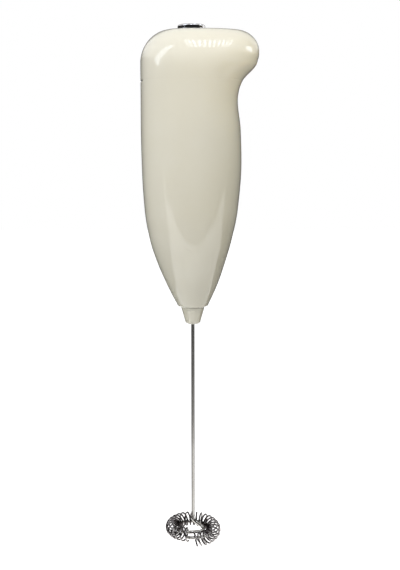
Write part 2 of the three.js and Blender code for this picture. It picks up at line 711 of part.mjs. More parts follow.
function makeChassis() {
  const wellTop = heightAt(0.895);
  const plateInset = WALL + CHASSIS_GAP;
  const plateLow = wellTop - DECK_THICKNESS;
  const least = (profile) => Math.min(...[SEAM, wellTop].map((z) => reachAt(profile, z, plateInset)));
  const plate = (z) =>
    ringOf(z, least(backProfile), NECK_REACH - plateInset, least(depthProfile), SQUARENESS);
  const armFoot = CAN_BOTTOM - FIT_GAP - ARM_THICKNESS;
  const armInner = MOTOR_FLAT + FIT_GAP;
  const armOuter = armInner + ARM_THICKNESS;
  const flange = ribReach() + RIB_LAP;
  const flangeReach = RIB_PLACE + RIB_THICKNESS;
  const half = ARM_WIDTH / 2;
  const arms = solid(block([-half, -armOuter, armFoot], [half, armOuter, DECK_BOTTOM + 0.5])).intersect(
    solid(rod(armOuter + 0.2, armFoot - 1, DECK_BOTTOM + 1, 0, 0, AROUND)),
  );
  const solids = [
    raised(stadium(WELL_OUTER), DECK_BOTTOM, wellTop),
    skinned([plate(plateLow), plate(wellTop)]),
    block([-flangeReach, -flange, DECK_BOTTOM], [flangeReach, flange, DECK_TOP]),
    fromSolid(arms),
  ];
  const slot = PLATE_THICKNESS / 2 + FIT_GAP;
  const slotReach = TAB_WIDTH / 2 + FIT_GAP;
  const window = WELL_WINDOW_WIDTH / 2;
  const middle = (DECK_TOP + plateLow) / 2;
  const tools = [
    raised(stadium(WELL_RADIUS), DECK_TOP, wellTop + 1),
    block([-half - 1, -armInner, armFoot + ARM_THICKNESS], [half + 1, armInner, DECK_BOTTOM]),
    rod(BEARING_RADIUS + FIT_GAP, armFoot - 1, armFoot + ARM_THICKNESS + 1),
    rod(TAIL_RADIUS + FIT_GAP, DECK_BOTTOM - 1, DECK_TOP + 1, -CONTACT_TAB),
    block([CONTACT_TAB - slot, -slotReach, DECK_BOTTOM - 1], [CONTACT_TAB + slot, slotReach, DECK_TOP + 1]),
  ];
  for (const side of [-1, 1]) {
    const x = side * CELL_PLACE;
    tools.push(
      block(
        [x - window, -2 * WELL_OUTER, middle - WELL_WINDOW_HEIGHT / 2],
        [x + window, 2 * WELL_OUTER, middle + WELL_WINDOW_HEIGHT / 2],
      ),
    );
  }
  const body = cut(joined(...solids), ...tools);
  const stops = [-1, 1].map((face) => rod(1.5, BELL_TOP + FIT_GAP, DECK_BOTTOM + 0.5, 0, face * 5, 12));
  return fromSolid(stops.reduce((sum, stop) => sum.add(solid(stop)), body));
}

// A cell stands with its nub up, or hangs with its nub down.
function makeCell(side, up) {
  const x = side * CELL_PLACE;
  const edge = 0.6;
  const long = CELL_LENGTH - CELL_NUB_HEIGHT;
  const profile = [
    [0, 0],
    [CELL_RADIUS - edge, 0],
    [CELL_RADIUS, edge],
    [CELL_RADIUS, long - edge],
    [CELL_RADIUS - edge, long],
    [CELL_NUB_RADIUS, long],
    [CELL_NUB_RADIUS, CELL_LENGTH],
    [0, CELL_LENGTH],
  ].map(([r, z]) => [r, up ? CELL_BOTTOM + z : CELL_TOP - z]);
  return turned(profile, x, 0, 28);
}

function makeNegativeSpring() {
  const [low, high] = [DECK_TOP + TAIL_RADIUS + 0.05, CELL_BOTTOM - TAIL_RADIUS - 0.25];
  const tail = new THREE.Vector3(-CONTACT_TAB, 0, DECK_BOTTOM - TAIL_LENGTH);
  const coil = coilPoints(3, low, high, CELL_PLACE - CONTACT_TAB, 2.2, -CELL_PLACE);
  return wire([tail, tail.clone().setZ(DECK_TOP - 0.2), ...coil], TAIL_RADIUS, 6);
}

function makePositiveContact() {
  const half = PLATE_THICKNESS / 2;
  const [low, high] = [DECK_TOP + PLATE_THICKNESS / 4, CELL_BOTTOM - FIT_GAP];
  const end = CELL_PLACE + 4.5;
  const plate = block(
    [CONTACT_TAB - half, -PLATE_WIDTH / 2, DECK_TOP],
    [end, PLATE_WIDTH / 2, DECK_TOP + PLATE_THICKNESS],
  );
  const bump = turned([[0, low], [3.2, low], [2.2, high], [0, high]], CELL_PLACE);
  const tab = block(
    [CONTACT_TAB - half, -TAB_WIDTH / 2, DECK_BOTTOM - TAIL_LENGTH],
    [CONTACT_TAB + half, TAB_WIDTH / 2, DECK_TOP + PLATE_THICKNESS],
  );
  return fromSolid(joined(plate, bump, tab));
}

const TERMINAL_PLACE = 6.5;
const LEAD_RADIUS = 0.55;

// A lead from a contact's tail under the deck to a terminal on the motor.
function makeLead(side) {
  const z = (DECK_BOTTOM + BELL_TOP) / 2;
  const route = [
    [CONTACT_TAB, 2.2, z + 0.35],
    [CONTACT_TAB + 0.5, 3.1, z],
    [TERMINAL_PLACE - 0.6, 3.3, z - 0.2],
    [TERMINAL_PLACE, 2.0, z - 0.2],
  ].map(([x, y, height]) => new THREE.Vector3(side * x, y, height));
  return wire(new THREE.CatmullRomCurve3(route).getPoints(12), LEAD_RADIUS, 8);
}

// The motor's outline: a circle with two flats.
function doubleD(radius, flat) {
  const angle = Math.asin(flat / radius);
  const shape = new THREE.Shape();
  shape.absarc(0, 0, radius, -angle, angle);
  shape.absarc(0, 0, radius, Math.PI - angle, Math.PI + angle);
  return shape;
}

function makeMotorCan() {
  const body = joined(
    raised(doubleD(MOTOR_RADIUS, MOTOR_FLAT), CAN_BOTTOM, CAN_TOP),
    rod(BEARING_RADIUS, BEARING_BOTTOM, CAN_BOTTOM + CAN_WALL / 2),
  );
  const inside = doubleD(MOTOR_RADIUS - CAN_WALL, MOTOR_FLAT - CAN_WALL);
  const bore = rod(MOTOR_SHAFT_RADIUS + BEARING_GAP, BEARING_BOTTOM - 1, CAN_TOP);
  return fromSolid(cut(body, raised(inside, CAN_BOTTOM + CAN_WALL, CAN_TOP + 1), bore));
}

function makeMotorEndBell() {
  const body = solid(raised(doubleD(MOTOR_RADIUS, MOTOR_FLAT), CAN_TOP, BELL_TOP));
  const recess = rod(TERMINAL_PLACE - 1.5, CAN_TOP - 1, CAN_TOP + BELL_HEIGHT / 2);
  const tools = [recess, rod(MOTOR_SHAFT_RADIUS + BEARING_GAP, CAN_TOP, BELL_TOP + 1)];
  for (const side of [-1, 1]) {
    const x = side * TERMINAL_PLACE;
    tools.push(block([x - 0.5, -1.5, CAN_TOP - 1], [x + 0.5, 1.5, BELL_TOP + 1]));
  }
  return fromSolid(cut(body, ...tools));
}

const COMMUTATOR_TOP = CAN_TOP - 0.7;
const ARMATURE_TOP = COMMUTATOR_TOP - COMMUTATOR_LENGTH - 1.7;
const ARMATURE_BOTTOM = ARMATURE_TOP - ARMATURE_LENGTH;

// A terminal blade with the brush that leans on the commutator.
function makeTerminal(side) {
  const brush = COMMUTATOR_RADIUS + FIT_GAP;
  const path = [
    [side * TERMINAL_PLACE, BELL_TOP + 1.2],
    [side * TERMINAL_PLACE, COMMUTATOR_TOP - 0.6],
    [side * (brush + 0.2), COMMUTATOR_TOP - 1.8],
    [side * (brush + 0.2), COMMUTATOR_TOP - COMMUTATOR_LENGTH + 0.6],
  ];
  return strip(path, 0.4, 2.2);
}

function makeMagnet(side) {
  const inner = ARMATURE_RADIUS + AIR_GAP;
  const outer = MOTOR_RADIUS - CAN_WALL - BEARING_GAP;
  const reach = Math.asin((MOTOR_FLAT - CAN_WALL - 0.4) / outer);
  const middle = side > 0 ? 0 : Math.PI;
  const shape = new THREE.Shape();
  shape.absarc(0, 0, outer, middle - reach, middle + reach);
  shape.absarc(0, 0, inner, middle + reach, middle - reach, true);
  const centre = (ARMATURE_TOP + ARMATURE_BOTTOM) / 2;
  return raised(shape, centre - MAGNET_LENGTH / 2, centre + MAGNET_LENGTH / 2, 8);
}

const POLES = [0, 1, 2];
const poleAngle = (pole) => (2 * Math.PI * pole) / POLES.length + Math.PI / 2;
const POLE_NECK = 1.3; // half the width of a pole's neck
const SHOE_THICKNESS = 1.3;
const SHOE_REACH = 0.86; // half the angle a pole's shoe covers, in radians
const HUB_RADIUS = 2.0;

function makeArmatureCore() {
  const shoeInner = ARMATURE_RADIUS - SHOE_THICKNESS;
  let core = solid(rod(HUB_RADIUS, ARMATURE_BOTTOM, ARMATURE_TOP));
  for (const pole of POLES) {
    const angle = poleAngle(pole);
    const shape = new THREE.Shape();
    shape.absarc(0, 0, ARMATURE_RADIUS, angle - SHOE_REACH, angle + SHOE_REACH);
    shape.absarc(0, 0, shoeInner, angle + SHOE_REACH, angle - SHOE_REACH, true);
    const neck = block(
      [HUB_RADIUS - 0.5, -POLE_NECK, ARMATURE_BOTTOM],
      [shoeInner + 0.5, POLE_NECK, ARMATURE_TOP],
    );
    const shoe = raised(shape, ARMATURE_BOTTOM, ARMATURE_TOP, 8);
    core = core.add(solid(shoe)).add(solid(neck.rotateZ(angle)));
  }
  const bore = rod(MOTOR_SHAFT_RADIUS + PRESS_GAP, ARMATURE_BOTTOM - 1, ARMATURE_TOP + 1);
  return fromSolid(cut(core, bore));
}

// A winding is a closed loop of wire round one pole's neck.
function makeWinding(pole) {
  const side = POLE_NECK + 0.3;
  const depth = 0.9;
  const inner = HUB_RADIUS + 0.4;
  const outer = Math.sqrt((ARMATURE_RADIUS - SHOE_THICKNESS - 0.3) ** 2 - (side + depth) ** 2);
  const loop = block(
    [inner, -side - depth, ARMATURE_BOTTOM - 0.3 - depth],
    [outer, side + depth, ARMATURE_TOP + 0.3 + depth],
  );
  const hole = block(
    [inner - 1, -side, ARMATURE_BOTTOM - 0.3],
    [outer + 1, side, ARMATURE_TOP + 0.3],
  );
  return fromSolid(cut(solid(loop), hole)).rotateZ(poleAngle(pole));
}

const COUPLER_TOP = BEARING_BOTTOM - 0.8;
const COUPLER_BOTTOM = RIM_BOTTOM + 1.75;
const COUPLER_BORE = (COUPLER_TOP - COUPLER_BOTTOM - COUPLER_WEB) / 2; // depth of each of its two bores

function makeCoupler() {
  const upper = MOTOR_SHAFT_RADIUS + PRESS_GAP;
  const lower = WIRE_RADIUS + PRESS_GAP;
  return turned([
    [0, COUPLER_BOTTOM + COUPLER_BORE],
    [lower, COUPLER_BOTTOM + COUPLER_BORE],
    [lower, COUPLER_BOTTOM],
    [COUPLER_RADIUS - 0.3, COUPLER_BOTTOM],
    [COUPLER_RADIUS, COUPLER_BOTTOM + 0.3],
    [COUPLER_RADIUS, COUPLER_TOP - 0.3],
    [COUPLER_RADIUS - 0.3, COUPLER_TOP],
    [upper, COUPLER_TOP],
    [upper, COUPLER_TOP - COUPLER_BORE],
    [0, COUPLER_TOP - COUPLER_BORE],
  ]);
}

const BUSH_BOTTOM = CONE_TIP + CONE_LIP;
const BUSH_BORE = WIRE_RADIUS + BUSH_GAP;

function makeNoseCone() {
  const spigotTop = RIM_BOTTOM + SPIGOT_HEIGHT;
  const chamber = SPIGOT_RADIUS - SPIGOT_WALL;
  const bore = BUSH_RADIUS + PRESS_GAP * 2;
  const lipHole = WIRE_RADIUS + 0.45;
  const roundTop = CONE_TIP + CONE_ROUND;
  const edge = steps(3).map((t) => {
    const angle = (t * Math.PI) / 2;
    return [CONE_TIP_RADIUS - CONE_ROUND * (1 - Math.sin(angle)), roundTop - CONE_ROUND * Math.cos(angle)];
  });
  const profile = [
    [lipHole, CONE_TIP],
    ...edge,
    [CONE_RADIUS, RIM_BOTTOM - 0.35],
    [CONE_RADIUS - 0.15, RIM_BOTTOM],
    [SPIGOT_RADIUS, RIM_BOTTOM],
    [SPIGOT_RADIUS, spigotTop - 0.4],
    [SPIGOT_RADIUS - 0.3, spigotTop],
    [chamber, spigotTop],
    [chamber, COUPLER_BOTTOM - 0.7],
    [bore, COUPLER_BOTTOM - 0.7],
    [bore, BUSH_BOTTOM],
    [lipHole, BUSH_BOTTOM],
    [lipHole, CONE_TIP],
  ];
  return turned(profile, 0, 0, 32);
}

// A place on the ring, by its angle from the front towards the back of the hand, its radius and its height
// above the ring's plane.
function onRing(degrees, radius, height) {
  const angle = THREE.MathUtils.degToRad(degrees);
  return new THREE.Vector3(-radius * Math.sin(angle), -radius * Math.cos(angle), RING_PLANE + height);
}

const coilShare = (degrees) => (degrees - COIL_START) / (COIL_END - COIL_START);
const coilHeight = (degrees) => between(COIL_HIGH, COIL_LOW, coilShare(degrees));

function coilLine() {
  const count = COIL_TURNS * 8;
  return steps(count).map((t) => {
    const degrees = between(COIL_START, COIL_END, t);
    const turn = 2 * Math.PI * COIL_TURNS * t - Math.PI / 2;
    const radius = RING_RADIUS + COIL_RADIUS * Math.cos(turn);
    return onRing(degrees, radius, coilHeight(degrees) + COIL_RADIUS * Math.sin(turn));
  });
}

// The ring's wire runs inside the coil: it starts above its middle line, dips under it at the back and
// ends above it again, past the coil's open end.
function ringLine() {
  const first = COIL_START + 5;
  const places = steps(30).map((t) => between(first, RING_WIRE_END, t));
  return places.map((degrees) => {
    const share = Math.min(1, coilShare(degrees));
    const swing = THREE.MathUtils.degToRad(30 - 80 * Math.sin(Math.PI * share));
    const radius = RING_RADIUS - RING_WIRE_INSET * Math.cos(swing);
    const height = coilHeight(Math.min(degrees, COIL_END)) + RING_WIRE_INSET * Math.sin(swing);
    return onRing(degrees, radius, height);
  });
}

// The shaft comes straight down, slants out as a spoke, curls round to the front and becomes the ring.
function whiskLine() {
  const shaftTop = COUPLER_BOTTOM + COUPLER_BORE - 0.3;
  const inwards = RING_RADIUS - COIL_RADIUS; // the spoke keeps to the free middle of the coil
  const spoke = [
    [0, 0, 4.2],
    [0.1, 0, 3.3],
    [0.38, 0.02, 1.95],
    [0.64, 0.1, 0.85],
    [0.72, 0.33, 0.4],
    [0.58, 0.61, 0.5],
    [0.24, 0.85, 0.9],
    [-0.2, 1.1, 1.45],
  ].map(([right, front, up]) => new THREE.Vector3(right * inwards, -front * inwards, RING_PLANE + up));
  const bend = new THREE.CatmullRomCurve3([
    new THREE.Vector3(0, 0, RING_PLANE + 6),
    ...spoke,
    ...ringLine().slice(0, 4),
  ]);
  const bent = bend.getPoints(36);
  return [new THREE.Vector3(0, 0, shaftTop), ...bent, ...ringLine().slice(4)];
}

// Least free space between one stretch of wire and another of the same coil.
function leastGap(points, wireRadius, skip) {
  let least = Infinity;
  points.forEach((a, i) => {
    for (let j = i + skip; j < points.length; j++) {
      least = Math.min(least, a.distanceTo(points[j]));
    }
  });
  return least - 2 * wireRadius;
}

piece("body_shell", makeBodyShell(), cream);
piece("top_cap", makeTopCap(), cream);
piece("nose_cone", makeNoseCone(), cream);
piece("shaft_bush", sleeve(BUSH_BORE, BUSH_RADIUS, BUSH_BOTTOM, BUSH_BOTTOM + BUSH_LENGTH), bronze);
piece("chassis", makeChassis(), greyPlastic);
piece("cell_left", makeCell(-1, true), cellWrap);
piece("cell_right", makeCell(1, false), cellWrap);
piece("negative_spring", makeNegativeSpring(), steel);
piece("positive_contact", makePositiveContact(), steel);
piece("lead_black", makeLead(-1), blackPlastic);
piece("lead_red", makeLead(1), redPlastic);

piece("motor_can", makeMotorCan(), canSteel);
piece("motor_end_bell", makeMotorEndBell(), blackPlastic);
piece("magnet_left", makeMagnet(-1), ferrite);
piece("magnet_right", makeMagnet(1), ferrite);
piece("terminal_left", makeTerminal(-1), brass);
piece("terminal_right", makeTerminal(1), brass);

const motorShaftTop = BELL_TOP - 1;
const motorShaftBottom = COUPLER_TOP - COUPLER_BORE + FIT_GAP;
piece("motor_shaft", rod(MOTOR_SHAFT_RADIUS, motorShaftBottom, motorShaftTop), steel);
piece("armature_core", makeArmatureCore(), canSteel);
POLES.forEach((pole) => piece(`winding_${pole + 1}`, makeWinding(pole), copper));
const commutatorBore = MOTOR_SHAFT_RADIUS + PRESS_GAP;
const commutatorFoot = COMMUTATOR_TOP - COMMUTATOR_LENGTH;
piece("commutator", sleeve(commutatorBore, COMMUTATOR_RADIUS, commutatorFoot, COMMUTATOR_TOP), copper);
piece("coupler", makeCoupler(), brass);
piece("whisk_wire", wire(whiskLine(), WIRE_RADIUS, 10), steel);
piece("whisk_spring", wire(coilLine(), COIL_WIRE_RADIUS, 5), springChrome);

piece("switch_carrier", makeSwitchCarrier(), greyPlastic);
piece("carrier_screw_front", makeScrew(-CARRIER_SCREW_PLACE), steel);
piece("carrier_screw_rear", makeScrew(CARRIER_SCREW_PLACE), steel);
piece("contact_left", makeContactStrip(-1), brass);
piece("contact_right", makeContactStrip(1), brass);
piece("button_spring", makeButtonSpring(), steel);
piece("button", makeButton(), buttonChrome);
piece("bridge_ring", sleeve(BRIDGE_INNER, BRIDGE_OUTER, BRIDGE_BOTTOM, FLANGE_BOTTOM, BUTTON_SHIFT), brass);

const coilGap = leastGap(coilLine(), COIL_WIRE_RADIUS, 5);
console.log("least gap of the whisk's coil to itself, mm:", coilGap.toFixed(2));

export default root;
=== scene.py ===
# %% [markdown]
# # A battery milk whisk
# A motor in a slim plastic handle spins a thin steel shaft, and the shaft ends in a ring with a coil of
# spring wire wound round it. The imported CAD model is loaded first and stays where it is. Every piece here
# is made round it: finer meshes stand for the CAD solids that show, and the others get better materials.

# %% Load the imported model
import math

import bmesh
import bpy
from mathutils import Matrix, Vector


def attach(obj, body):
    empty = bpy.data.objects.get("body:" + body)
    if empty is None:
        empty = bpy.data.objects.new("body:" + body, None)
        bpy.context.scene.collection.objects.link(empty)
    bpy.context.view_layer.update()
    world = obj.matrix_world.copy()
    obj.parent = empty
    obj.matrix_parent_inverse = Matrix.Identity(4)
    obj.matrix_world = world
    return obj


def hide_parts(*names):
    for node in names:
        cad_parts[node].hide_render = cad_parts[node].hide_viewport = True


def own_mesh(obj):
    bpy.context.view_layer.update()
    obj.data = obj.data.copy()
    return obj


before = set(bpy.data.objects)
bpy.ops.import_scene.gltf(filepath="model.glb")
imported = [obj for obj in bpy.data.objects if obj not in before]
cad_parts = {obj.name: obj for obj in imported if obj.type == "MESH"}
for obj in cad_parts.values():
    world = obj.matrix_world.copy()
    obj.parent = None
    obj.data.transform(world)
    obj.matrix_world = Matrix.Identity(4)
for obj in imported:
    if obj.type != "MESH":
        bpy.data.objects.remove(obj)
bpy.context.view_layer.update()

MM = 0.001

# %% [markdown]
# ## The camera
# The photograph looks at the front of the handle from a little above, so the ring at the bottom shows as
# an ellipse. A view could be found by trial. Here the ring's ellipse gives the pitch, and the lens is
# worked out, so that the perspective matches too: 800 pixels of focal length on a picture 570 pixels high.

# %% Place the camera
CAMERA_PLACE = (0.00298, -0.327, 0.0)
CAMERA_PITCH = math.radians(9.5)
FOCAL_PIXELS = 800
PICTURE_HEIGHT = 570
SENSOR = 36.0

lens = bpy.data.cameras.new("camera")
lens.sensor_width = SENSOR
lens.lens = SENSOR * FOCAL_PIXELS / PICTURE_HEIGHT
lens.clip_start = 0.01
camera = bpy.data.objects.new("camera", lens)
camera.location = CAMERA_PLACE
camera.rotation_euler = (math.pi / 2 - CAMERA_PITCH, 0, 0)
bpy.context.scene.collection.objects.link(camera)
bpy.context.scene.camera = camera
bpy.context.scene.view_settings.view_transform = "Standard"
print("lens, mm:", round(lens.lens, 2))

# %% [markdown]
# ## Finishes
# Each finish is a Principled shader. A flat colour would look like paint, and a picture would need a
# layout on every mesh. Noise on the piece's own coordinates needs neither: it varies the colour and the
# roughness a little and lifts the surface by a few thousandths of a millimetre, as moulding, drawing and
# plating do. A value that is the same all over is set on the shader itself.

# %% Start a finish
def start_finish(name, colour, roughness, metallic=0.0):
    material = bpy.data.materials.new(name)
    material.use_nodes = True
    shader = material.node_tree.nodes["Principled BSDF"]
    shader.inputs["Base Color"].default_value = (*colour, 1)
    shader.inputs["Roughness"].default_value = roughness
    shader.inputs["Metallic"].default_value = metallic
    return material


def add_noise(material, scale, detail=2.0, stretch=(1, 1, 1)):
    tree = material.node_tree
    place = tree.nodes.new("ShaderNodeTexCoord")
    mapping = tree.nodes.new("ShaderNodeMapping")
    mapping.inputs["Scale"].default_value = stretch
    noise = tree.nodes.new("ShaderNodeTexNoise")
    noise.inputs["Scale"].default_value = scale
    noise.inputs["Detail"].default_value = detail
    tree.links.new(place.outputs["Object"], mapping.inputs["Vector"])
    tree.links.new(mapping.outputs["Vector"], noise.inputs["Vector"])
    return noise


cream = start_finish("cream_plastic", (0.80, 0.765, 0.66), 0.1)
print("started:", cream.name)

# %% [markdown]
# The handle is glossy cream ABS. Real mouldings aren't one flat colour: the resin is a little warmer here
# and greyer there. The two shades could be two materials, but a ramp between them, driven by slow noise,
# has no edge.

# %% Vary the cream's colour
def colour_by(material, value, stops):
    """Colours a material by a value, through stops of (position, colour)."""
    tree = material.node_tree
    ramp = tree.nodes.new("ShaderNodeValToRGB")
    elements = ramp.color_ramp.elements
    for element, (position, colour) in zip(elements, (stops[0], stops[-1])):
        element.position = position
        element.color = (*colour, 1)
    for position, colour in stops[1:-1]:
        elements.new(position).color = (*colour, 1)
    tree.links.new(value, ramp.inputs["Fac"])
    tree.links.new(ramp.outputs["Color"], tree.nodes["Principled BSDF"].inputs["Base Color"])


def vary_colour(material, noise, dark, light):
    colour_by(material, noise.outputs["Fac"], [(0.3, dark), (0.7, light)])


vary_colour(cream, add_noise(cream, 45, 3), (0.77, 0.755, 0.645), (0.79, 0.78, 0.685))
print("nodes in", cream.name, len(cream.node_tree.nodes))

# %% [markdown]
# The plastic shines because its mould was polished. One low roughness would do that too, but then the
# soft sheen and the crisp reflections couldn't be set apart. A clear coat gives the crisp ones, and the
# base under it stays a little softer.

# %% Polish the cream
def vary_roughness(material, noise, low, high):
    tree = material.node_tree
    spread = tree.nodes.new("ShaderNodeMapRange")
    spread.inputs["From Min"].default_value = 0.3
    spread.inputs["From Max"].default_value = 0.7
    spread.inputs["To Min"].default_value = low
    spread.inputs["To Max"].default_value = high
    tree.links.new(noise.outputs["Fac"], spread.inputs["Value"])
    tree.links.new(spread.outputs["Result"], tree.nodes["Principled BSDF"].inputs["Roughness"])


vary_roughness(cream, add_noise(cream, 160, 3), 0.06, 0.1)
gloss = cream.node_tree.nodes["Principled BSDF"].inputs
gloss["Specular IOR Level"].default_value = 0.25
gloss["Coat Weight"].default_value = 1.0
gloss["Coat Roughness"].default_value = 0.04
print("coat's roughness:", round(gloss["Coat Roughness"].default_value, 2))

# %% [markdown]
# Even a polished mould leaves a very shallow orange peel, which makes a reflection waver. Moving the
# mesh's points by a hundredth of a millimetre would need millions of them, so a bump does it.

# %% Leave the mould's orange peel
def add_relief(material, noise, strength, height):
    tree = material.node_tree
    bump = tree.nodes.new("ShaderNodeBump")
    bump.inputs["Strength"].default_value = strength
    bump.inputs["Distance"].default_value = height
    tree.links.new(noise.outputs["Fac"], bump.inputs["Height"])
    tree.links.new(bump.outputs["Normal"], tree.nodes["Principled BSDF"].inputs["Normal"])


add_relief(cream, add_noise(cream, 260, 1), 0.03, 0.00001)
print("nodes in", cream.name, len(cream.node_tree.nodes))

# %% [markdown]
# The plastics inside are cheaper ones: a grained grey chassis, black nylon, and the leads' red and black
# sleeves. The cells wear a printed film, here without print. They could share one plastic in other
# colours, but each has its own grain, so each gets its own noise.

# %% Inner plastics
grey_plastic = start_finish("grey_plastic", (0.3, 0.31, 0.3), 0.45)
vary_colour(grey_plastic, add_noise(grey_plastic, 120, 4), (0.27, 0.28, 0.27), (0.33, 0.34, 0.33))
add_relief(grey_plastic, add_noise(grey_plastic, 2500, 2), 0.25, 0.00003)

black_plastic = start_finish("black_plastic", (0.012, 0.012, 0.012), 0.4)
vary_roughness(black_plastic, add_noise(black_plastic, 400, 3), 0.32, 0.5)

red_plastic = start_finish("red_plastic", (0.42, 0.02, 0.015), 0.35)
vary_roughness(red_plastic, add_noise(red_plastic, 400, 3), 0.28, 0.45)

cell_wrap = start_finish("cell_wrap", (0.03, 0.075, 0.14), 0.3)
vary_colour(cell_wrap, add_noise(cell_wrap, 60, 2), (0.027, 0.068, 0.13), (0.036, 0.085, 0.155))
vary_roughness(cell_wrap, add_noise(cell_wrap, 300, 3), 0.22, 0.36)
add_relief(cell_wrap, add_noise(cell_wrap, 500, 2), 0.15, 0.00005)
print("inner plastics:", [finish.name for finish in (grey_plastic, black_plastic, red_plastic, cell_wrap)])

# %% [markdown]
# The push button is plated with chrome, a mirror with a few dull spots from fingers. One low roughness
# would make it too perfect. The colour stays even, because the look is nearly all reflection, and only
# the roughness varies.

# %% Chrome of the button
button_chrome = start_finish("button_chrome", (0.82, 0.81, 0.82), 0.06, 1.0)
vary_roughness(button_chrome, add_noise(button_chrome, 350, 3), 0.04, 0.1)
print("started:", button_chrome.name)

# %% [markdown]
# The coil is plated spring wire. Its side that faces the ring's middle is painted dark, in patches: painted
# shade, for the shade that falls between the curls there. Two materials would meet at a hard line. Here the
# colour follows the distance from the shaft's axis, and noise is added to that distance first, which breaks
# the line up.

# %% Paint shade on the coil's inner side
def reach_in(tree):
    """Gives each place's distance from the upright axis, in metres."""
    place = tree.nodes.new("ShaderNodeTexCoord")
    flat = tree.nodes.new("ShaderNodeVectorMath")
    flat.operation = "MULTIPLY"
    flat.inputs[1].default_value = (1, 1, 0)
    reach = tree.nodes.new("ShaderNodeVectorMath")
    reach.operation = "LENGTH"
    tree.links.new(place.outputs["Object"], flat.inputs[0])
    tree.links.new(flat.outputs["Vector"], reach.inputs[0])
    return reach.outputs["Value"]


def colour_in_patches(material, measure, span, shares, noise, patchiness, stops):
    """Turns from colour to colour as a measure crosses its span, in patches that follow the noise."""
    tree = material.node_tree
    share = tree.nodes.new("ShaderNodeMapRange")
    share.inputs["From Min"].default_value = span[0]
    share.inputs["From Max"].default_value = span[1]
    share.inputs["To Min"].default_value = shares[0]
    share.inputs["To Max"].default_value = shares[1]
    patches = tree.nodes.new("ShaderNodeMath")
    patches.operation = "MULTIPLY_ADD"
    patches.inputs[1].default_value = patchiness
    tree.links.new(measure, share.inputs["Value"])
    tree.links.new(noise.outputs["Fac"], patches.inputs[0])
    tree.links.new(share.outputs["Result"], patches.inputs[2])
    colour_by(material, patches.outputs["Value"], stops)


spring_chrome = start_finish("spring_chrome", (0.5, 0.48, 0.48), 0.1, 1.0)
vary_roughness(spring_chrome, add_noise(spring_chrome, 500, 3), 0.06, 0.16)
# Painted shade: the coil's colour darkens towards the shaft's axis, on the curls' inner side.
colour_in_patches(
    spring_chrome,
    reach_in(spring_chrome.node_tree),
    span=(7.0 * MM, 11.0 * MM),
    shares=(0, 0.35),
    noise=add_noise(spring_chrome, 800, 2),
    patchiness=0.6,
    stops=[(0.3, (0.05, 0.04, 0.04)), (0.62, (0.25, 0.235, 0.235)), (0.85, (0.68, 0.65, 0.65))],
)
print("nodes in", spring_chrome.name, len(spring_chrome.node_tree.nodes))

# %% [markdown]
# Steel wire is drawn through a die, which leaves fine lines along it. Lines could be cut into the mesh,
# but they are far finer than its faces. Noise that is stretched along the wire draws them in the gloss.

# %% Drawn steel wire
ALONG_WIRE = (1, 1, 0.03)
bright_steel = start_finish("bright_steel", (0.58, 0.565, 0.54), 0.22, 1.0)
vary_roughness(bright_steel, add_noise(bright_steel, 5000, 2, ALONG_WIRE), 0.1, 0.18)
vary_colour(bright_steel, add_noise(bright_steel, 120, 3), (0.5, 0.485, 0.46), (0.62, 0.605, 0.58))
add_relief(bright_steel, add_noise(bright_steel, 6000, 2, ALONG_WIRE), 0.1, 0.00001)
print("started:", bright_steel.name)

# %% [markdown]
# The whisk's own shaft is bright near the ring and painted darker above: a painted dark reflection on its
# upper part. Two lengths of wire in two steels would show a joint. So its colour changes as the coil's does,
# and here it follows the height.

# %% Paint a dark reflection on the shaft towards the handle
def height_in(tree):
    """Gives each place's height, in metres."""
    place = tree.nodes.new("ShaderNodeTexCoord")
    split = tree.nodes.new("ShaderNodeSeparateXYZ")
    tree.links.new(place.outputs["Object"], split.inputs[0])
    return split.outputs["Z"]


shaft_steel = start_finish("shaft_steel", (0.45, 0.44, 0.42), 0.12, 1.0)
vary_roughness(shaft_steel, add_noise(shaft_steel, 5000, 2, ALONG_WIRE), 0.06, 0.14)
# Painted dark reflection: the shaft's colour darkens with the height, towards the handle.
colour_in_patches(
    shaft_steel,
    height_in(shaft_steel.node_tree),
    span=(-130 * MM, -112 * MM),
    shares=(-0.2, 0.8),
    noise=add_noise(shaft_steel, 900, 2, (1, 1, 0.2)),
    patchiness=0.4,
    stops=[(0, (0.48, 0.465, 0.44)), (1, (0.26, 0.255, 0.24))],
)
print("nodes in", shaft_steel.name, len(shaft_steel.node_tree.nodes))

# %% [markdown]
# Inside are the motor's plated can, brass contacts, a sintered bronze bush, copper windings and ferrite
# magnets. Each could be coloured in patches like the coil, but little of them ever shows, so two or three
# lines each are enough.

# %% Metals inside
can_steel = start_finish("can_steel", (0.42, 0.43, 0.44), 0.35, 1.0)
vary_roughness(can_steel, add_noise(can_steel, 300, 4), 0.28, 0.45)

contact_brass = start_finish("contact_brass", (0.62, 0.43, 0.14), 0.28, 1.0)
vary_roughness(contact_brass, add_noise(contact_brass, 400, 4), 0.2, 0.42)
vary_colour(contact_brass, add_noise(contact_brass, 200, 3), (0.52, 0.35, 0.11), (0.66, 0.47, 0.17))

bronze = start_finish("bronze", (0.4, 0.24, 0.09), 0.5, 1.0)
vary_colour(bronze, add_noise(bronze, 3000, 2), (0.3, 0.17, 0.06), (0.46, 0.29, 0.12))

copper = start_finish("copper", (0.55, 0.19, 0.06), 0.3, 1.0)
add_relief(copper, add_noise(copper, 1500, 1, (1, 1, 0.1)), 0.3, 0.00005)

ferrite = start_finish("ferrite", (0.045, 0.04, 0.037), 0.75)
add_relief(ferrite, add_noise(ferrite, 1800, 4), 0.3, 0.00004)
print("metals inside:", [finish.name for finish in (can_steel, contact_brass, bronze, copper, ferrite)])

# %% [markdown]
# ## The CAD solids that stay
# The chassis, the motor and the switch have the right shape already. They could be modelled again, but
# they need only a finish, so each node's slots get one.

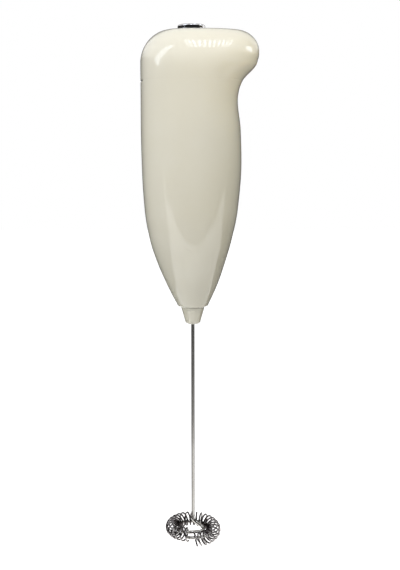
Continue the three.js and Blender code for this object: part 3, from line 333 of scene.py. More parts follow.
# %% Dress the CAD nodes that stay
NODE_FINISHES = {
    "chassis": grey_plastic,
    "switch_carrier": grey_plastic,
    "shaft_bush": bronze,
    "negative_spring": bright_steel,
    "positive_contact": bright_steel,
    "lead_black": black_plastic,
    "lead_red": red_plastic,
    "motor_can": can_steel,
    "motor_end_bell": black_plastic,
    "magnet_left": ferrite,
    "magnet_right": ferrite,
    "terminal_left": contact_brass,
    "terminal_right": contact_brass,
    "motor_shaft": bright_steel,
    "armature_core": can_steel,
    "winding_1": copper,
    "winding_2": copper,
    "winding_3": copper,
    "commutator": copper,
    "coupler": contact_brass,
    "contact_left": contact_brass,
    "contact_right": contact_brass,
    "bridge_ring": contact_brass,
}
for node, finish in NODE_FINISHES.items():
    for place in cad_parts[node].material_slots:
        place.material = finish
print("CAD nodes with a finish of their own:", len(NODE_FINISHES))

# %% [markdown]
# ## Helpers for the shapes
# Every shape here ends as a mesh that rides on a CAD body and stands for a CAD node. The points that meet
# at a seam are merged first and the faces turned outwards, and only the edges that are really sharp stay
# sharp.

# %% Finish a mesh as a piece
MERGE_DISTANCE = 0.002 * MM


def close_up(shape):
    bmesh.ops.remove_doubles(shape, verts=shape.verts, dist=MERGE_DISTANCE)
    bmesh.ops.recalc_face_normals(shape, faces=shape.faces)


def make_piece(shape, name, body, finish, node, sharp):
    """Makes the piece that replaces a node. An edge stays sharp past an angle, in degrees."""
    mesh = bpy.data.meshes.new(name)
    shape.to_mesh(mesh)
    shape.free()
    mesh.shade_smooth()
    mesh.set_sharp_from_angle(angle=math.radians(sharp))
    piece = bpy.data.objects.new(name, mesh)
    bpy.context.scene.collection.objects.link(piece)
    mesh.materials.append(finish)
    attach(piece, body)
    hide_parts(node)
    print(name, "faces:", len(mesh.polygons))
    return piece


print("points merge within, mm:", MERGE_DISTANCE / MM)

# %% [markdown]
# The housing's pieces are lofted. A loft could be a stack of rings bridged one by one. Here one circle of
# vertices is extruded from section to section instead, because each vertex then keeps the angle that it
# started at, and a section only has to say where that angle lies.

# %% Loft from section to section
def loft(sections, around):
    """A section is a function that gives a place, in millimetres, for an angle."""
    shape = bmesh.new()
    turn = shape.verts.layers.float.new("turn")
    bmesh.ops.create_circle(shape, segments=around, radius=1.0)
    row = list(shape.verts)
    edges = list(shape.edges)
    for vert in row:
        vert[turn] = math.atan2(vert.co.y, vert.co.x)
        vert.co = sections[0](vert[turn]) * MM
    for section in sections[1:]:
        grown = bmesh.ops.extrude_edge_only(shape, edges=edges)["geom"]
        row = {part for part in grown if isinstance(part, bmesh.types.BMVert)}
        edges = [
            part
            for part in grown
            if isinstance(part, bmesh.types.BMEdge) and all(vert in row for vert in part.verts)
        ]
        for vert in row:
            vert.co = section(vert[turn]) * MM
    shape.verts.layers.float.remove(shape.verts.layers.float["turn"])
    return shape


AROUND = 128
print("vertices round a section:", AROUND)

# %% [markdown]
# The button, the cone, the cells and the screws are round. They could be lofted too, but a turner draws
# half their outline once, and a full spin makes the rest.

# %% Turn a profile
ROUND_STEPS = 96


def turned(profile, centre=0.0, steps=ROUND_STEPS):
    """Spins a profile of (radius, height) round an upright axis at x = centre."""
    shape = bmesh.new()
    verts = [shape.verts.new(Vector((centre + radius, 0, height)) * MM) for radius, height in profile]
    edges = [shape.edges.new(pair) for pair in zip(verts, verts[1:])]
    bmesh.ops.spin(
        shape,
        geom=verts + edges,
        cent=(centre * MM, 0, 0),
        axis=(0, 0, 1),
        angle=2 * math.pi,
        steps=steps,
        use_merge=True,
    )
    close_up(shape)
    return shape


print("steps round a turned piece:", ROUND_STEPS)

# %% [markdown]
# ## The housing's form
# The handle isn't turned. Its section is a squared oval that reaches differently far to the back, to the
# beak's side and to the front, and each of those three reaches changes with the height. It could be
# sculpted by eye, but the pieces inside set most of its heights and widths, so these are named first.

# %% Heights and reaches, in millimetres
RIM_BOTTOM = -63.4
RIM_TOP = -62.7
SEAM = 27.5
TONGUE_TOP = 32.5
SHOULDER = 34.2
FRONT_SHOULDER = 28.5
BEAK = 37.0
BEAK_SHOULDER = 39.0
COLLAR_BOTTOM = 41.55
CEILING = 45.0
TOP = 46.75
RIM_RADIUS = 6.45
NECK = 18.0
BELLY = 19.7
BACK = 20.7
SEAM_REACH = 19.9
BEAK_REACH = 26.3
HALF_DEPTH = 17.0
WALL = 1.8
SQUARENESS = 2.25
print("grip, mm:", BACK + BELLY, "wide and", 2 * HALF_DEPTH, "deep")

# %% [markdown]
# A few stations say how far the handle reaches at a height. Straight lines between them would show as
# facets, and a plain spline would swing past them. This curve keeps to the smaller of the slopes on both
# sides of a station, so it never overshoots.

# %% A smooth curve through stations
def mix(low, high, share):
    return low + share * (high - low)


def smooth(stations):
    """A curve through (height, reach) stations that never overshoots them."""
    steps = [(b[1] - a[1]) / (b[0] - a[0]) for a, b in zip(stations, stations[1:])]
    slopes = [steps[0]]
    for before, after in zip(steps, steps[1:]):
        slopes.append(0.0 if before * after <= 0 else 2 * before * after / (before + after))
    slopes.append(steps[-1])

    def reach(height):
        if height <= stations[0][0]:
            return stations[0][1]
        if height >= stations[-1][0]:
            return stations[-1][1]
        i = next(k for k, station in enumerate(stations) if height <= station[0]) - 1
        (x0, y0), (x1, y1) = stations[i], stations[i + 1]
        run = x1 - x0
        t = (height - x0) / run
        return (
            y0 * (2 * t**3 - 3 * t**2 + 1)
            + slopes[i] * run * (t**3 - 2 * t**2 + t)
            + y1 * (3 * t**2 - 2 * t**3)
            + slopes[i + 1] * run * (t**3 - t**2)
        )

    return reach


print("halfway up a smooth step:", smooth([(0, 0), (1, 1), (2, 1)])(0.5))

# %% [markdown]
# The stations are shares of the way from the foot to the seam and from the seam to the beak, and their
# reaches are shares of the named ones, so a change of a named size takes them along.

# %% The three reaches
def at(share):
    return RIM_TOP + share * (SEAM - RIM_TOP)


def rise(share):
    return SEAM + share * (BEAK - SEAM)


back_reach = smooth([
    (at(0), RIM_RADIUS),
    (at(0.042), mix(RIM_RADIUS, BACK, 0.142)),
    (at(0.112), mix(RIM_RADIUS, BACK, 0.352)),
    (at(0.204), mix(RIM_RADIUS, BACK, 0.592)),
    (at(0.296), mix(RIM_RADIUS, BACK, 0.772)),
    (at(0.432), mix(RIM_RADIUS, BACK, 0.917)),
    (at(0.612), mix(RIM_RADIUS, BACK, 0.982)),
    (at(0.788), BACK),
    (at(1), mix(RIM_RADIUS, BACK, 0.994)),
    (BEAK, mix(RIM_RADIUS, BACK, 0.994)),
])
beak_reach = smooth([
    (at(0), RIM_RADIUS),
    (at(0.042), mix(RIM_RADIUS, BELLY, 0.134)),
    (at(0.112), mix(RIM_RADIUS, BELLY, 0.332)),
    (at(0.204), mix(RIM_RADIUS, BELLY, 0.534)),
    (at(0.296), mix(RIM_RADIUS, BELLY, 0.712)),
    (at(0.432), mix(RIM_RADIUS, BELLY, 0.896)),
    (at(0.64), BELLY),
    (at(0.788), mix(NECK, BELLY, 0.75)),
    (at(0.918), NECK),
    (at(0.961), mix(NECK, SEAM_REACH, 0.28)),
    (at(1), SEAM_REACH),
    (rise(0.242), mix(SEAM_REACH, BEAK_REACH, 0.29)),
    (rise(0.442), mix(SEAM_REACH, BEAK_REACH, 0.602)),
    (rise(0.653), mix(SEAM_REACH, BEAK_REACH, 0.844)),
    (rise(1), BEAK_REACH),
])
depth_reach = smooth([
    (at(0), RIM_RADIUS),
    (at(0.042), mix(RIM_RADIUS, HALF_DEPTH, 0.15)),
    (at(0.112), mix(RIM_RADIUS, HALF_DEPTH, 0.4)),
    (at(0.204), mix(RIM_RADIUS, HALF_DEPTH, 0.63)),
    (at(0.296), mix(RIM_RADIUS, HALF_DEPTH, 0.79)),
    (at(0.432), mix(RIM_RADIUS, HALF_DEPTH, 0.92)),
    (at(0.612), mix(RIM_RADIUS, HALF_DEPTH, 0.99)),
    (at(0.75), HALF_DEPTH),
    (at(1), mix(RIM_RADIUS, HALF_DEPTH, 0.96)),
    (BEAK, mix(RIM_RADIUS, HALF_DEPTH, 0.95)),
])
print("reaches at the grip, mm:", [round(reach(0), 2) for reach in (back_reach, beak_reach, depth_reach)])

# %% [markdown]
# A section is a function: it takes an angle round the handle and gives a place. The moulding's wall is
# equally thick everywhere, measured square to the slanted surface, so the inner face takes a wider step
# where the handle tapers. A Solidify modifier could make the wall, but not the tongue and the mouth.

# %% Sections of the handle
def inset_reach(profile, z, inset):
    span = 0.5
    slope = (profile(z + span) - profile(z - span)) / (2 * span)
    return profile(z) - inset * math.hypot(1, slope)


def oval(back, beak, depth, power, height):
    def place(turn):
        c, s = math.cos(turn), math.sin(turn)
        x = math.copysign(abs(c) ** (2 / power), c) * (beak if c > 0 else back)
        y = math.copysign(abs(s) ** (2 / power), s) * depth
        return Vector((x, y, height))

    return place


def circle(radius, height, centre=0.0):
    return lambda turn: Vector((centre + radius * math.cos(turn), radius * math.sin(turn), height))


def power_at(z):
    """The section is a circle at the foot and squares up on its way to the belly."""
    share = min(1, max(0, (z - RIM_TOP) / (at(0.4) - RIM_TOP)))
    return mix(2, SQUARENESS, share * share * (3 - 2 * share))


def handle_section(z, inset=0.0, height=None):
    reaches = [inset_reach(profile, z, inset) for profile in (back_reach, beak_reach, depth_reach)]
    return oval(*reaches, power_at(z), z if height is None else height)


def spaced(low, high, count):
    return [mix(low, high, i / count) for i in range(count + 1)]


print("a section's front, mm:", [round(v, 1) for v in handle_section(0)(-math.pi / 2)])

# %% [markdown]
# ## The handle's shell
# One moulding: a rounded foot, the tapering body, and a thinner tongue at the top that the cap slides
# over. At the back the seam dips for a thumb nail. Boolean cuts would leave ragged faces round the seam,
# so the steps are sections of the loft: up the outside, over the tongue and down the inside, and the last
# section meets the first one in the bore of the foot.

# %% Sections of the shell
NOTCH_HALF = 6.8
NOTCH_DROP = 0.7
NOTCH_END = 0.6
SEAM_EDGE = 0.03
BORE = 4.0
FLOOR = RIM_BOTTOM + 2.25
RIM_ROUND = 1.05
TONGUE_INSET = 1.0
TONGUE_EDGE = 0.2
INNER_EDGE = 0.15


def with_notch(section):
    """The section's back edge dips by the depth of the thumb-nail notch."""

    def place(turn):
        spot = section(turn)
        if spot.x < 0:
            edge = min(1, max(0, (NOTCH_HALF - abs(spot.y)) / NOTCH_END))
            spot.z -= NOTCH_DROP * edge * edge * (3 - 2 * edge)
        return spot

    return place


rim_corner = [
    circle(RIM_RADIUS - RIM_ROUND * (1 - math.sin(a)), RIM_TOP - (RIM_TOP - RIM_BOTTOM) * math.cos(a))
    for a in spaced(0, math.pi / 2, 5)[:-1]
]
shell_outside = [handle_section(z) for z in spaced(RIM_TOP, SEAM - 1.2, 84)]
shell_seam = [
    handle_section(SEAM - 0.9),
    with_notch(handle_section(SEAM, 0, SEAM - 2 * SEAM_EDGE)),
    with_notch(handle_section(SEAM, 0, SEAM - SEAM_EDGE)),
    with_notch(handle_section(SEAM, SEAM_EDGE * 0.3, SEAM - SEAM_EDGE * 0.3)),
    with_notch(handle_section(SEAM, SEAM_EDGE)),
    with_notch(handle_section(SEAM, TONGUE_INSET)),
]
shell_tongue = [
    handle_section(SEAM, TONGUE_INSET, TONGUE_TOP - TONGUE_EDGE),
    handle_section(SEAM, TONGUE_INSET + TONGUE_EDGE, TONGUE_TOP),
    handle_section(SEAM, WALL - INNER_EDGE, TONGUE_TOP),
    handle_section(SEAM, WALL, TONGUE_TOP - INNER_EDGE),
]
shell_inside = [handle_section(z, WALL) for z in spaced(SEAM, FLOOR, 30)]
print("sections up the outside:", len(shell_outside), "and down the inside:", len(shell_inside))

# %% [markdown]
# The sections go in order: from the bore of the foot outwards, up, over the tongue and back down. A shell
# without a thickness would be quicker, but it would look like paper where the cap comes off. The solid
# also has four thin ribs inside, beside the motor. They lie out of sight below the cells and aren't drawn.

# %% Loft the shell
shell_sections = [
    circle(BORE, RIM_BOTTOM),
    circle(RIM_RADIUS - 1.3, RIM_BOTTOM),
    *rim_corner,
    *shell_outside,
    *shell_seam,
    *shell_tongue,
    *shell_inside,
    circle(BORE, FLOOR),
    circle(BORE, RIM_BOTTOM),
]
shell = loft(shell_sections, AROUND)
close_up(shell)
make_piece(shell, "handle_shell", "handle", cream, "body_shell", 50)

# %% [markdown]
# ## The battery cap
# The cap carries the button and the beak that keeps the hand from sliding. Its outside rolls over a soft
# shoulder into a nearly flat top. A bevel would roll all sides alike. Here the back, the beak and the
# front each roll in from a height of their own, so each reach is drawn in by its own curve.

# %% Sections of the cap
BACK_ROLL = 11.6
BEAK_ROLL = 8.1
FRONT_ROLL = 9.65
BACK_FULLNESS = 1.94
BEAK_FULLNESS = 1.83
FRONT_FULLNESS = 2.3


def shouldered(reach, z, foot, top, run, power):
    """Draws a reach in over the shoulder. A higher power keeps the shoulder fuller."""
    share = min(1, max(0, (z - foot) / (top - foot)))
    return reach - run * (1 - (1 - share**power) ** (1 / power))


def cap_section(z, inset=0.0, top=TOP):
    back, beak, depth = (inset_reach(profile, z, inset) for profile in (back_reach, beak_reach, depth_reach))
    return oval(
        shouldered(back, z, SHOULDER, top, BACK_ROLL - inset, BACK_FULLNESS),
        shouldered(beak, z, BEAK_SHOULDER, top, BEAK_ROLL - inset, BEAK_FULLNESS),
        shouldered(depth, z, FRONT_SHOULDER, top, FRONT_ROLL - inset, FRONT_FULLNESS),
        SQUARENESS,
        z,
    )


print("beak's reach at the top, mm:", round(cap_section(TOP)(0).x, 2))

# %% [markdown]
# The cap's lower edge meets the shell at the seam. An edge without any rounding would catch no light, so
# both are rounded by three hundredths of a millimetre, and between them the seam shows as a fine line.

# %% Edge, outside and shoulder of the cap
LAP = 0.8
LAP_TOP = TONGUE_TOP + 0.3

cap_edge = [
    handle_section(SEAM, LAP, SEAM),
    handle_section(SEAM, SEAM_EDGE, SEAM),
    handle_section(SEAM, SEAM_EDGE * 0.3, SEAM + SEAM_EDGE * 0.3),
    handle_section(SEAM, 0, SEAM + SEAM_EDGE),
    handle_section(SEAM + 2 * SEAM_EDGE),
]
cap_outside = [cap_section(z) for z in spaced(SEAM + 0.5, SHOULDER, 10)[:-1]]
cap_shoulder = [cap_section(mix(SHOULDER, TOP, math.sin(a))) for a in spaced(0, math.pi / 2, 30)]
print("sections from the seam to the top:", len(cap_edge + cap_outside + cap_shoulder))

# %% [markdown]
# The top runs in to the button's hole, and a collar below it guides the button. The inside follows the
# outside at the wall's thickness, down to the wider mouth that takes the shell's tongue. Collar and wall
# could be joined by booleans, but those leave ragged faces, so one loft goes through all of it.

# %% Top, collar and inside of the cap
BUTTON_CENTRE = -0.4
HOLE = 5.75
HOLE_EDGE = 0.25
COLLAR = 7.25
COLLAR_EDGE = 0.15
COLLAR_ROOT = 0.4
COLLAR_SPREAD = 0.05


def blend(first, second, share):
    return lambda turn: first(turn).lerp(second(turn), share)


hole_rim = circle(HOLE + HOLE_EDGE, TOP, BUTTON_CENTRE)
cap_top = [blend(cap_section(TOP), hole_rim, share) for share in (0.25, 0.5, 0.75, 1)]
hole_corner = [
    circle(HOLE + HOLE_EDGE * (1 - math.sin(a)), TOP - HOLE_EDGE * (1 - math.cos(a)), BUTTON_CENTRE)
    for a in spaced(0, math.pi / 2, 3)[1:]
]
cap_collar = [
    circle(HOLE, COLLAR_BOTTOM + COLLAR_EDGE, BUTTON_CENTRE),
    circle(HOLE + COLLAR_EDGE, COLLAR_BOTTOM, BUTTON_CENTRE),
    circle(COLLAR - COLLAR_EDGE, COLLAR_BOTTOM, BUTTON_CENTRE),
    circle(COLLAR, COLLAR_BOTTOM + COLLAR_EDGE, BUTTON_CENTRE),
    circle(COLLAR, CEILING - COLLAR_ROOT, BUTTON_CENTRE),
    circle(COLLAR + COLLAR_SPREAD, CEILING, BUTTON_CENTRE),
]
hollow_top = cap_section(CEILING, WALL, CEILING)
cap_ceiling = [blend(cap_collar[-1], hollow_top, share) for share in (0.5, 1)]
cap_hollow = [
    cap_section(mix(SHOULDER, CEILING, math.sin(a)), WALL, CEILING) for a in spaced(math.pi / 2, 0, 12)[1:]
]
cap_mouth = [
    cap_section(LAP_TOP, WALL, CEILING),
    handle_section(SEAM, LAP, LAP_TOP),
    handle_section(SEAM, LAP, SEAM),
]
print("sections of the collar:", len(cap_collar), "and of the inside:", len(cap_hollow + cap_mouth))

# %% [markdown]
# The cap's sections go in order as well: edge, outside, top, collar and inside. The last one lies where
# the first one does, so merging their points closes the cap. Bridging them would make a second row of
# faces there. The solid's two posts for the carrier's screws are hidden behind the carrier and aren't
# drawn.

# %% Loft the cap
cap_sections = [
    *cap_edge,
    *cap_outside,
    *cap_shoulder,
    *cap_top,
    *hole_corner,
    *cap_collar,
    *cap_ceiling,
    *cap_hollow,
    *cap_mouth,
]
cap = loft(cap_sections, AROUND)
close_up(cap)
make_piece(cap, "battery_cap", "cap", cream, "top_cap", 50)

# %% [markdown]
# ## The push button
# A chrome-plated plastic plug with a flat top, whose edge is only just broken. A flange under the collar
# keeps it in the cap. A cylinder with a bevel would round both of its ends. A turned profile gives each
# corner its own shape, and narrow strips beside the rounded edge keep the mirror flat right up to it.

# %% Turn the button
BUTTON_RADIUS = 5.45
BUTTON_TOP = 48.8
BUTTON_ROUND = 0.55
BUTTON_BORE = 3.95
BUTTON_ROOF = 47.4
FLANGE_RADIUS = 7.0
FLANGE_LOW = 40.35
FLANGE_HIGH = 41.35
STRIP = 0.15
NARROW_STRIP = 0.04

button_corner = [
    (BUTTON_RADIUS - BUTTON_ROUND * (1 - math.cos(a)), BUTTON_TOP - BUTTON_ROUND * (1 - math.sin(a)))
    for a in spaced(0, math.pi / 2, 6)
]
button_profile = [
    (0, BUTTON_ROOF),
    (BUTTON_BORE, BUTTON_ROOF),
    (BUTTON_BORE, FLANGE_LOW),
    (FLANGE_RADIUS, FLANGE_LOW),
    (FLANGE_RADIUS, FLANGE_HIGH),
    (BUTTON_RADIUS, FLANGE_HIGH),
    (BUTTON_RADIUS, BUTTON_TOP - BUTTON_ROUND - STRIP),
    (BUTTON_RADIUS, BUTTON_TOP - BUTTON_ROUND - NARROW_STRIP),
    *button_corner,
    (BUTTON_RADIUS - BUTTON_ROUND - STRIP, BUTTON_TOP),
    (0, BUTTON_TOP),
]
button = turned(button_profile, BUTTON_CENTRE)
make_piece(button, "push_button", "button", button_chrome, "button", 32)

# %% [markdown]
# ## The nose cone
# The cone is pushed into the foot of the handle and guides the shaft. It could be lofted on to the shell,
# but a fine dark line parts the two mouldings. So it is turned on its own, and above its widest place it
# steps in a little, which draws that line.

# %% Turn the cone
CONE_TIP = -70.95
CONE_ROUND = 1.2
TIP_RADIUS = 3.2
SHAFT_HOLE = 1.15
HOLE_CHAMFER = 0.1
TIP_WALL = 0.6
CLEARANCE = 1.8
BUSH_SOCKET = 3.0
BUSH_SEAT = -62.35
SPIGOT = 3.7
SPIGOT_TOP = -59.2
CONE_STEP = [(4.86, -0.5), (4.9, -0.36), (4.84, -0.26), (4.45, -0.22), (4.4, 0)]

tip_corner = [
    (TIP_RADIUS - CONE_ROUND * (1 - math.sin(a)), CONE_TIP + CONE_ROUND * (1 - math.cos(a)))
    for a in spaced(0, math.pi / 2, 6)
]
cone_profile = [
    (SHAFT_HOLE, CONE_TIP + HOLE_CHAMFER),
    (SHAFT_HOLE + HOLE_CHAMFER, CONE_TIP),
    *tip_corner,
    *[(radius, RIM_BOTTOM + height) for radius, height in CONE_STEP],
    (SPIGOT, RIM_BOTTOM),
    (SPIGOT, SPIGOT_TOP - 0.4),
    (SPIGOT - 0.3, SPIGOT_TOP),
    (BUSH_SOCKET, SPIGOT_TOP),
    (BUSH_SOCKET, BUSH_SEAT),
    (CLEARANCE, BUSH_SEAT),
    (CLEARANCE, CONE_TIP + TIP_WALL),
    (SHAFT_HOLE, CONE_TIP + TIP_WALL),
    (SHAFT_HOLE, CONE_TIP + HOLE_CHAMFER),
]
make_piece(turned(cone_profile), "nose_moulding", "handle", cream, "nose_cone", 32)

# %% [markdown]
# ## The wires
# The shaft, the coil and the return spring are bent from round wire. A wire could be a chain of tubes, but
# their joints would show. A Bezier curve with automatic handles passes smoothly through its points, and
# the curve's own bevel gives it its thickness. Then it is turned into a mesh, like every other piece.

# %% Draw a wire
WIRE_SHARP = 60


def wire(name, points, radius, resolution, sides, finish, body, node):
    """Draws a round wire through points in millimetres and makes it the piece that replaces a node."""
    path = bpy.data.curves.new(name + "_path", "CURVE")
    path.dimensions = "3D"
    path.resolution_u = resolution
    path.bevel_depth = radius * MM
    path.bevel_resolution = sides
    path.use_fill_caps = True
    spline = path.splines.new("BEZIER")
    spline.bezier_points.add(len(points) - 1)
    for knot, point in zip(spline.bezier_points, points):
        knot.co = point * MM
        knot.handle_left_type = "AUTO"
        knot.handle_right_type = "AUTO"
    holder = bpy.data.objects.new(name + "_path", path)
    bpy.context.scene.collection.objects.link(holder)
    seen = holder.evaluated_get(bpy.context.evaluated_depsgraph_get())
    shape = bmesh.new()
    shape.from_mesh(bpy.data.meshes.new_from_object(seen))
    bpy.data.objects.remove(holder)
    close_up(shape)
    return make_piece(shape, name, body, finish, node, WIRE_SHARP)


print("a wire's edges stay sharp past, degrees:", WIRE_SHARP)

# %% [markdown]
# The ring carries the coil, and the coil sits askew on it: the ring lies nearer the shaft than the curls'
# middle, above it at the front and below it at the back. A flat circle would be simpler, but in the
# photograph the ring rises and sinks inside the coil. So a formula gives its place for each angle.

# %% Places on the ring
RING_PLANE = -162.25
RING_RADIUS = 8.95
RING_INSET = 1.2
COIL_START = 12
COIL_END = 355
COIL_HIGH = 1.3
COIL_LOW = -1.2
FRONT_SWING = 30
SWING_DROP = 80


def on_ring(degrees, radius, height):
    """A place on a circle round the shaft. Degrees run from the front to the left and on to the back."""
    angle = math.radians(degrees)
    return Vector((-radius * math.sin(angle), -radius * math.cos(angle), RING_PLANE + height))


def coil_height(degrees):
    return mix(COIL_HIGH, COIL_LOW, (degrees - COIL_START) / (COIL_END - COIL_START))


def ring_point(degrees):
    share = min(1, (degrees - COIL_START) / (COIL_END - COIL_START))
    swing = math.radians(FRONT_SWING - SWING_DROP * math.sin(math.pi * share))
    height = coil_height(min(degrees, COIL_END)) + RING_INSET * math.sin(swing)
    return on_ring(degrees, RING_RADIUS - RING_INSET * math.cos(swing), height)


print("ring at the back, mm:", [round(v, 1) for v in ring_point(180)])

# %% [markdown]
# ## The shaft and its ring
# One piece of wire: it comes straight down, slants out as a spoke, curls round to the front and runs on
# as the ring inside the coil. The spoke could be a part of its own, but the real wire has no joint, so
# one path takes in all three.

# %% Bend the shaft and the ring
SHAFT_TOP = -57.2
SHAFT_RADIUS = 0.7
STRAIGHT_KNOT = -150
SPOKE_RISE = 6
RING_START = COIL_START + 5
RING_END = 378
COIL_RADIUS = 2.75
# To the right and to the front in shares of the spoke's reach, then up from the ring's plane in millimetres.
SPOKE = [
    (0, 0, 4.2),
    (0.1, 0, 3.3),
    (0.38, 0.02, 1.95),
    (0.64, 0.1, 0.85),
    (0.72, 0.33, 0.4),
    (0.58, 0.61, 0.5),
    (0.24, 0.85, 0.9),
    (-0.2, 1.1, 1.45),
]
spoke_reach = RING_RADIUS - COIL_RADIUS
shaft_path = [Vector((0, 0, height)) for height in (SHAFT_TOP, STRAIGHT_KNOT, RING_PLANE + SPOKE_RISE)]
shaft_path += [
    Vector((right * spoke_reach, -front * spoke_reach, RING_PLANE + up)) for right, front, up in SPOKE
]
shaft_path += [ring_point(degrees) for degrees in spaced(RING_START, RING_END, 30)]
wire("whisk_shaft", shaft_path, SHAFT_RADIUS, 8, 6, shaft_steel, "whisk", "whisk_wire")

# %% [markdown]
# ## The coil
# Twenty-eight curls of spring wire are threaded on the ring. A Screw modifier winds a straight spring,
# which then has to be bent round. A formula does both: the path runs round a circle while it turns round
# that circle's line. It sinks a little on its way, so its two ends pass each other at the front. The last
# curls, at the front right, have been pushed aslant, so they lean more and more.

# %% Wind the coil
COIL_TURNS = 28
COIL_WIRE = 0.36
CURL_POINTS = 10
CURL_LEAN = 7
LEAN_FROM = 240

coil_path = []
for step in range(COIL_TURNS * CURL_POINTS + 1):
    share = step / (COIL_TURNS * CURL_POINTS)
    degrees = mix(COIL_START, COIL_END, share)
    curl = 2 * math.pi * COIL_TURNS * share - math.pi / 2
    height = coil_height(degrees) + COIL_RADIUS * math.sin(curl)
    lean = CURL_LEAN * max(0, (degrees - LEAN_FROM) / (COIL_END - LEAN_FROM))
    leaning = degrees + lean * math.sin(curl)
    coil_path.append(on_ring(leaning, RING_RADIUS + COIL_RADIUS * math.cos(curl), height))
wire("whisk_coil", coil_path, COIL_WIRE, 3, 3, spring_chrome, "whisk", "whisk_spring")

# %% [markdown]
# ## The cells
# Two cells stand side by side under the cap, one of them upside down. A cell is a steel can in a shrunk
# sleeve, and the sleeve's ends curl over the rims. Can and sleeve could be two meshes, but they never
# part, so one profile draws both, and the faces inside the curled rims get the steel.

# %% Turn the cells
CELL_PLACE = 7.5
CELL_LOW = -16.5
CELL_HIGH = 34.0
SLEEVE = 7.25
SLEEVE_MOUTH = 5.5
CELL_STEPS = 64
CELL_PROFILE = [
    (0, 0.25),
    (4.6, 0.25),
    (4.9, 0.05),
    (5.9, 0.0),
    (6.1, 0.12),
    (6.3, 0.0),
    (6.9, 0.05),
    (SLEEVE, 0.55),
    (SLEEVE, 48.7),
    (6.95, 49.2),
    (6.4, 49.4),
    (5.6, 49.35),
    (5.4, 49.1),
    (2.9, 49.1),
    (2.75, 49.3),
    (2.75, 50.1),
    (2.4, 50.45),
    (0, 50.5),
]


def make_cell(name, node, side, nub_up):
    profile = [(radius, CELL_LOW + z if nub_up else CELL_HIGH - z) for radius, z in CELL_PROFILE]
    shape = turned(profile, side * CELL_PLACE, CELL_STEPS)
    cell = make_piece(shape, name, "handle", cell_wrap, node, 35)
    cell.data.materials.append(bright_steel)
    for face in cell.data.polygons:
        across = math.hypot(face.center.x / MM - side * CELL_PLACE, face.center.y / MM)
        face.material_index = 1 if across < SLEEVE_MOUTH else 0


make_cell("cell_left_dressed", "cell_left", -1, True)
make_cell("cell_right_dressed", "cell_right", 1, False)

# %% [markdown]
# ## The return spring
# It stands on the switch carrier and pushes the button up. Pressing the button shortens it. Shape keys could
# show that, and so could a squash along the button's way. Here the spring only gets a mesh of its own.

# %% Wind the return spring
CARRIER_TOP = 38.15
SPRING_LOW = CARRIER_TOP + 0.4
SPRING_HIGH = 47.0
SPRING_RADIUS = 2.9
SPRING_WIRE = 0.25
SPRING_TURNS = 6
TURN_POINTS = 12

spring_path = []
for step in range(SPRING_TURNS * TURN_POINTS + 1):
    share = step / (SPRING_TURNS * TURN_POINTS)
    angle = 2 * math.pi * SPRING_TURNS * share
    across = BUTTON_CENTRE + SPRING_RADIUS * math.cos(angle)
    height = mix(SPRING_LOW, SPRING_HIGH, share)
    spring_path.append(Vector((across, SPRING_RADIUS * math.sin(angle), height)))
return_spring = wire(
    "return_spring", spring_path, SPRING_WIRE, 3, 3, bright_steel, "cap", "button_spring"
)
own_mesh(return_spring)

# %% [markdown]
# ## The screws
# Two pan-head screws hold the switch carrier in the cap. A thread could be wound as a helix, but behind
# the carrier nobody would see it. So each screw is one turned profile: a domed head and a plain shank.

# %% Turn the screws
SCREW_SEAT = 36.55
SCREW_PLACE = 10.5
SCREW_STEPS = 32
SCREW_PROFILE = [(0, -1.2), (0.9, -1.18), (1.5, -0.95), (1.9, -0.45), (1.9, 0), (0.9, 0), (0.9, 4.1), (0, 5)]

for name, side in (("carrier_screw_front", -1), ("carrier_screw_rear", 1)):
    shape = turned([(radius, SCREW_SEAT + z) for radius, z in SCREW_PROFILE], 0, SCREW_STEPS)
    bmesh.ops.translate(shape, verts=shape.verts, vec=(0, side * SCREW_PLACE * MM, 0))
    make_piece(shape, name + "_dressed", "cap", bright_steel, name, 32)

# %% [markdown]
# ## The studio
# The whisk hangs free before a white background, and a pale floor lies well below it. Stronger lamps
# could make the floor bright, but they would light the whisk as well. So the floor also glows, though
# only for the camera and for the gloss.

# %% The floor
FLOOR_HEIGHT = -0.62
FLOOR_SIZE = 6


def seen_or_reflected(tree):
    """Gives 1 for rays from the camera and from glossy surfaces, and 0 for all the others."""
    ray = tree.nodes.new("ShaderNodeLightPath")
    either = tree.nodes.new("ShaderNodeMath")
    either.operation = "MAXIMUM"
    tree.links.new(ray.outputs["Is Camera Ray"], either.inputs[0])
    tree.links.new(ray.outputs["Is Glossy Ray"], either.inputs[1])
    return either.outputs[0]


def stage_piece(shape, name, material, lit=False):
    """Puts a mesh on the stage, round the object. Unless it is lit, it neither lights nor shades."""
    mesh = bpy.data.meshes.new(name)
    shape.to_mesh(mesh)
    shape.free()
    mesh.materials.append(material)
    piece = bpy.data.objects.new(name, mesh)
    piece.visible_diffuse = lit
    piece.visible_shadow = lit
    bpy.context.scene.collection.objects.link(piece)
    return piece


floor_material = bpy.data.materials.new("pale_floor")
floor_material.use_nodes = True
tree = floor_material.node_tree
paint = tree.nodes["Principled BSDF"]
paint.inputs["Base Color"].default_value = (0.82, 0.82, 0.81, 1)
paint.inputs["Roughness"].default_value = 0.9
paint.inputs["Specular IOR Level"].default_value = 0.0
paint.inputs["Emission Color"].default_value = (1, 1, 1, 1)
tree.links.new(seen_or_reflected(tree), paint.inputs["Emission Strength"])
floor_shape = bmesh.new()
bmesh.ops.create_grid(floor_shape, x_segments=1, y_segments=1, size=FLOOR_SIZE)
bmesh.ops.translate(floor_shape, verts=floor_shape.verts, vec=(0, 0, FLOOR_HEIGHT))
stage_piece(floor_shape, "floor", floor_material, lit=True)
print("floor below the whisk's origin, m:", -FLOOR_HEIGHT)

# %% [markdown]
# The background is white to the camera and in the reflections. As a light it would flood the whisk and
# take its shading away, so for all other rays it is turned down.

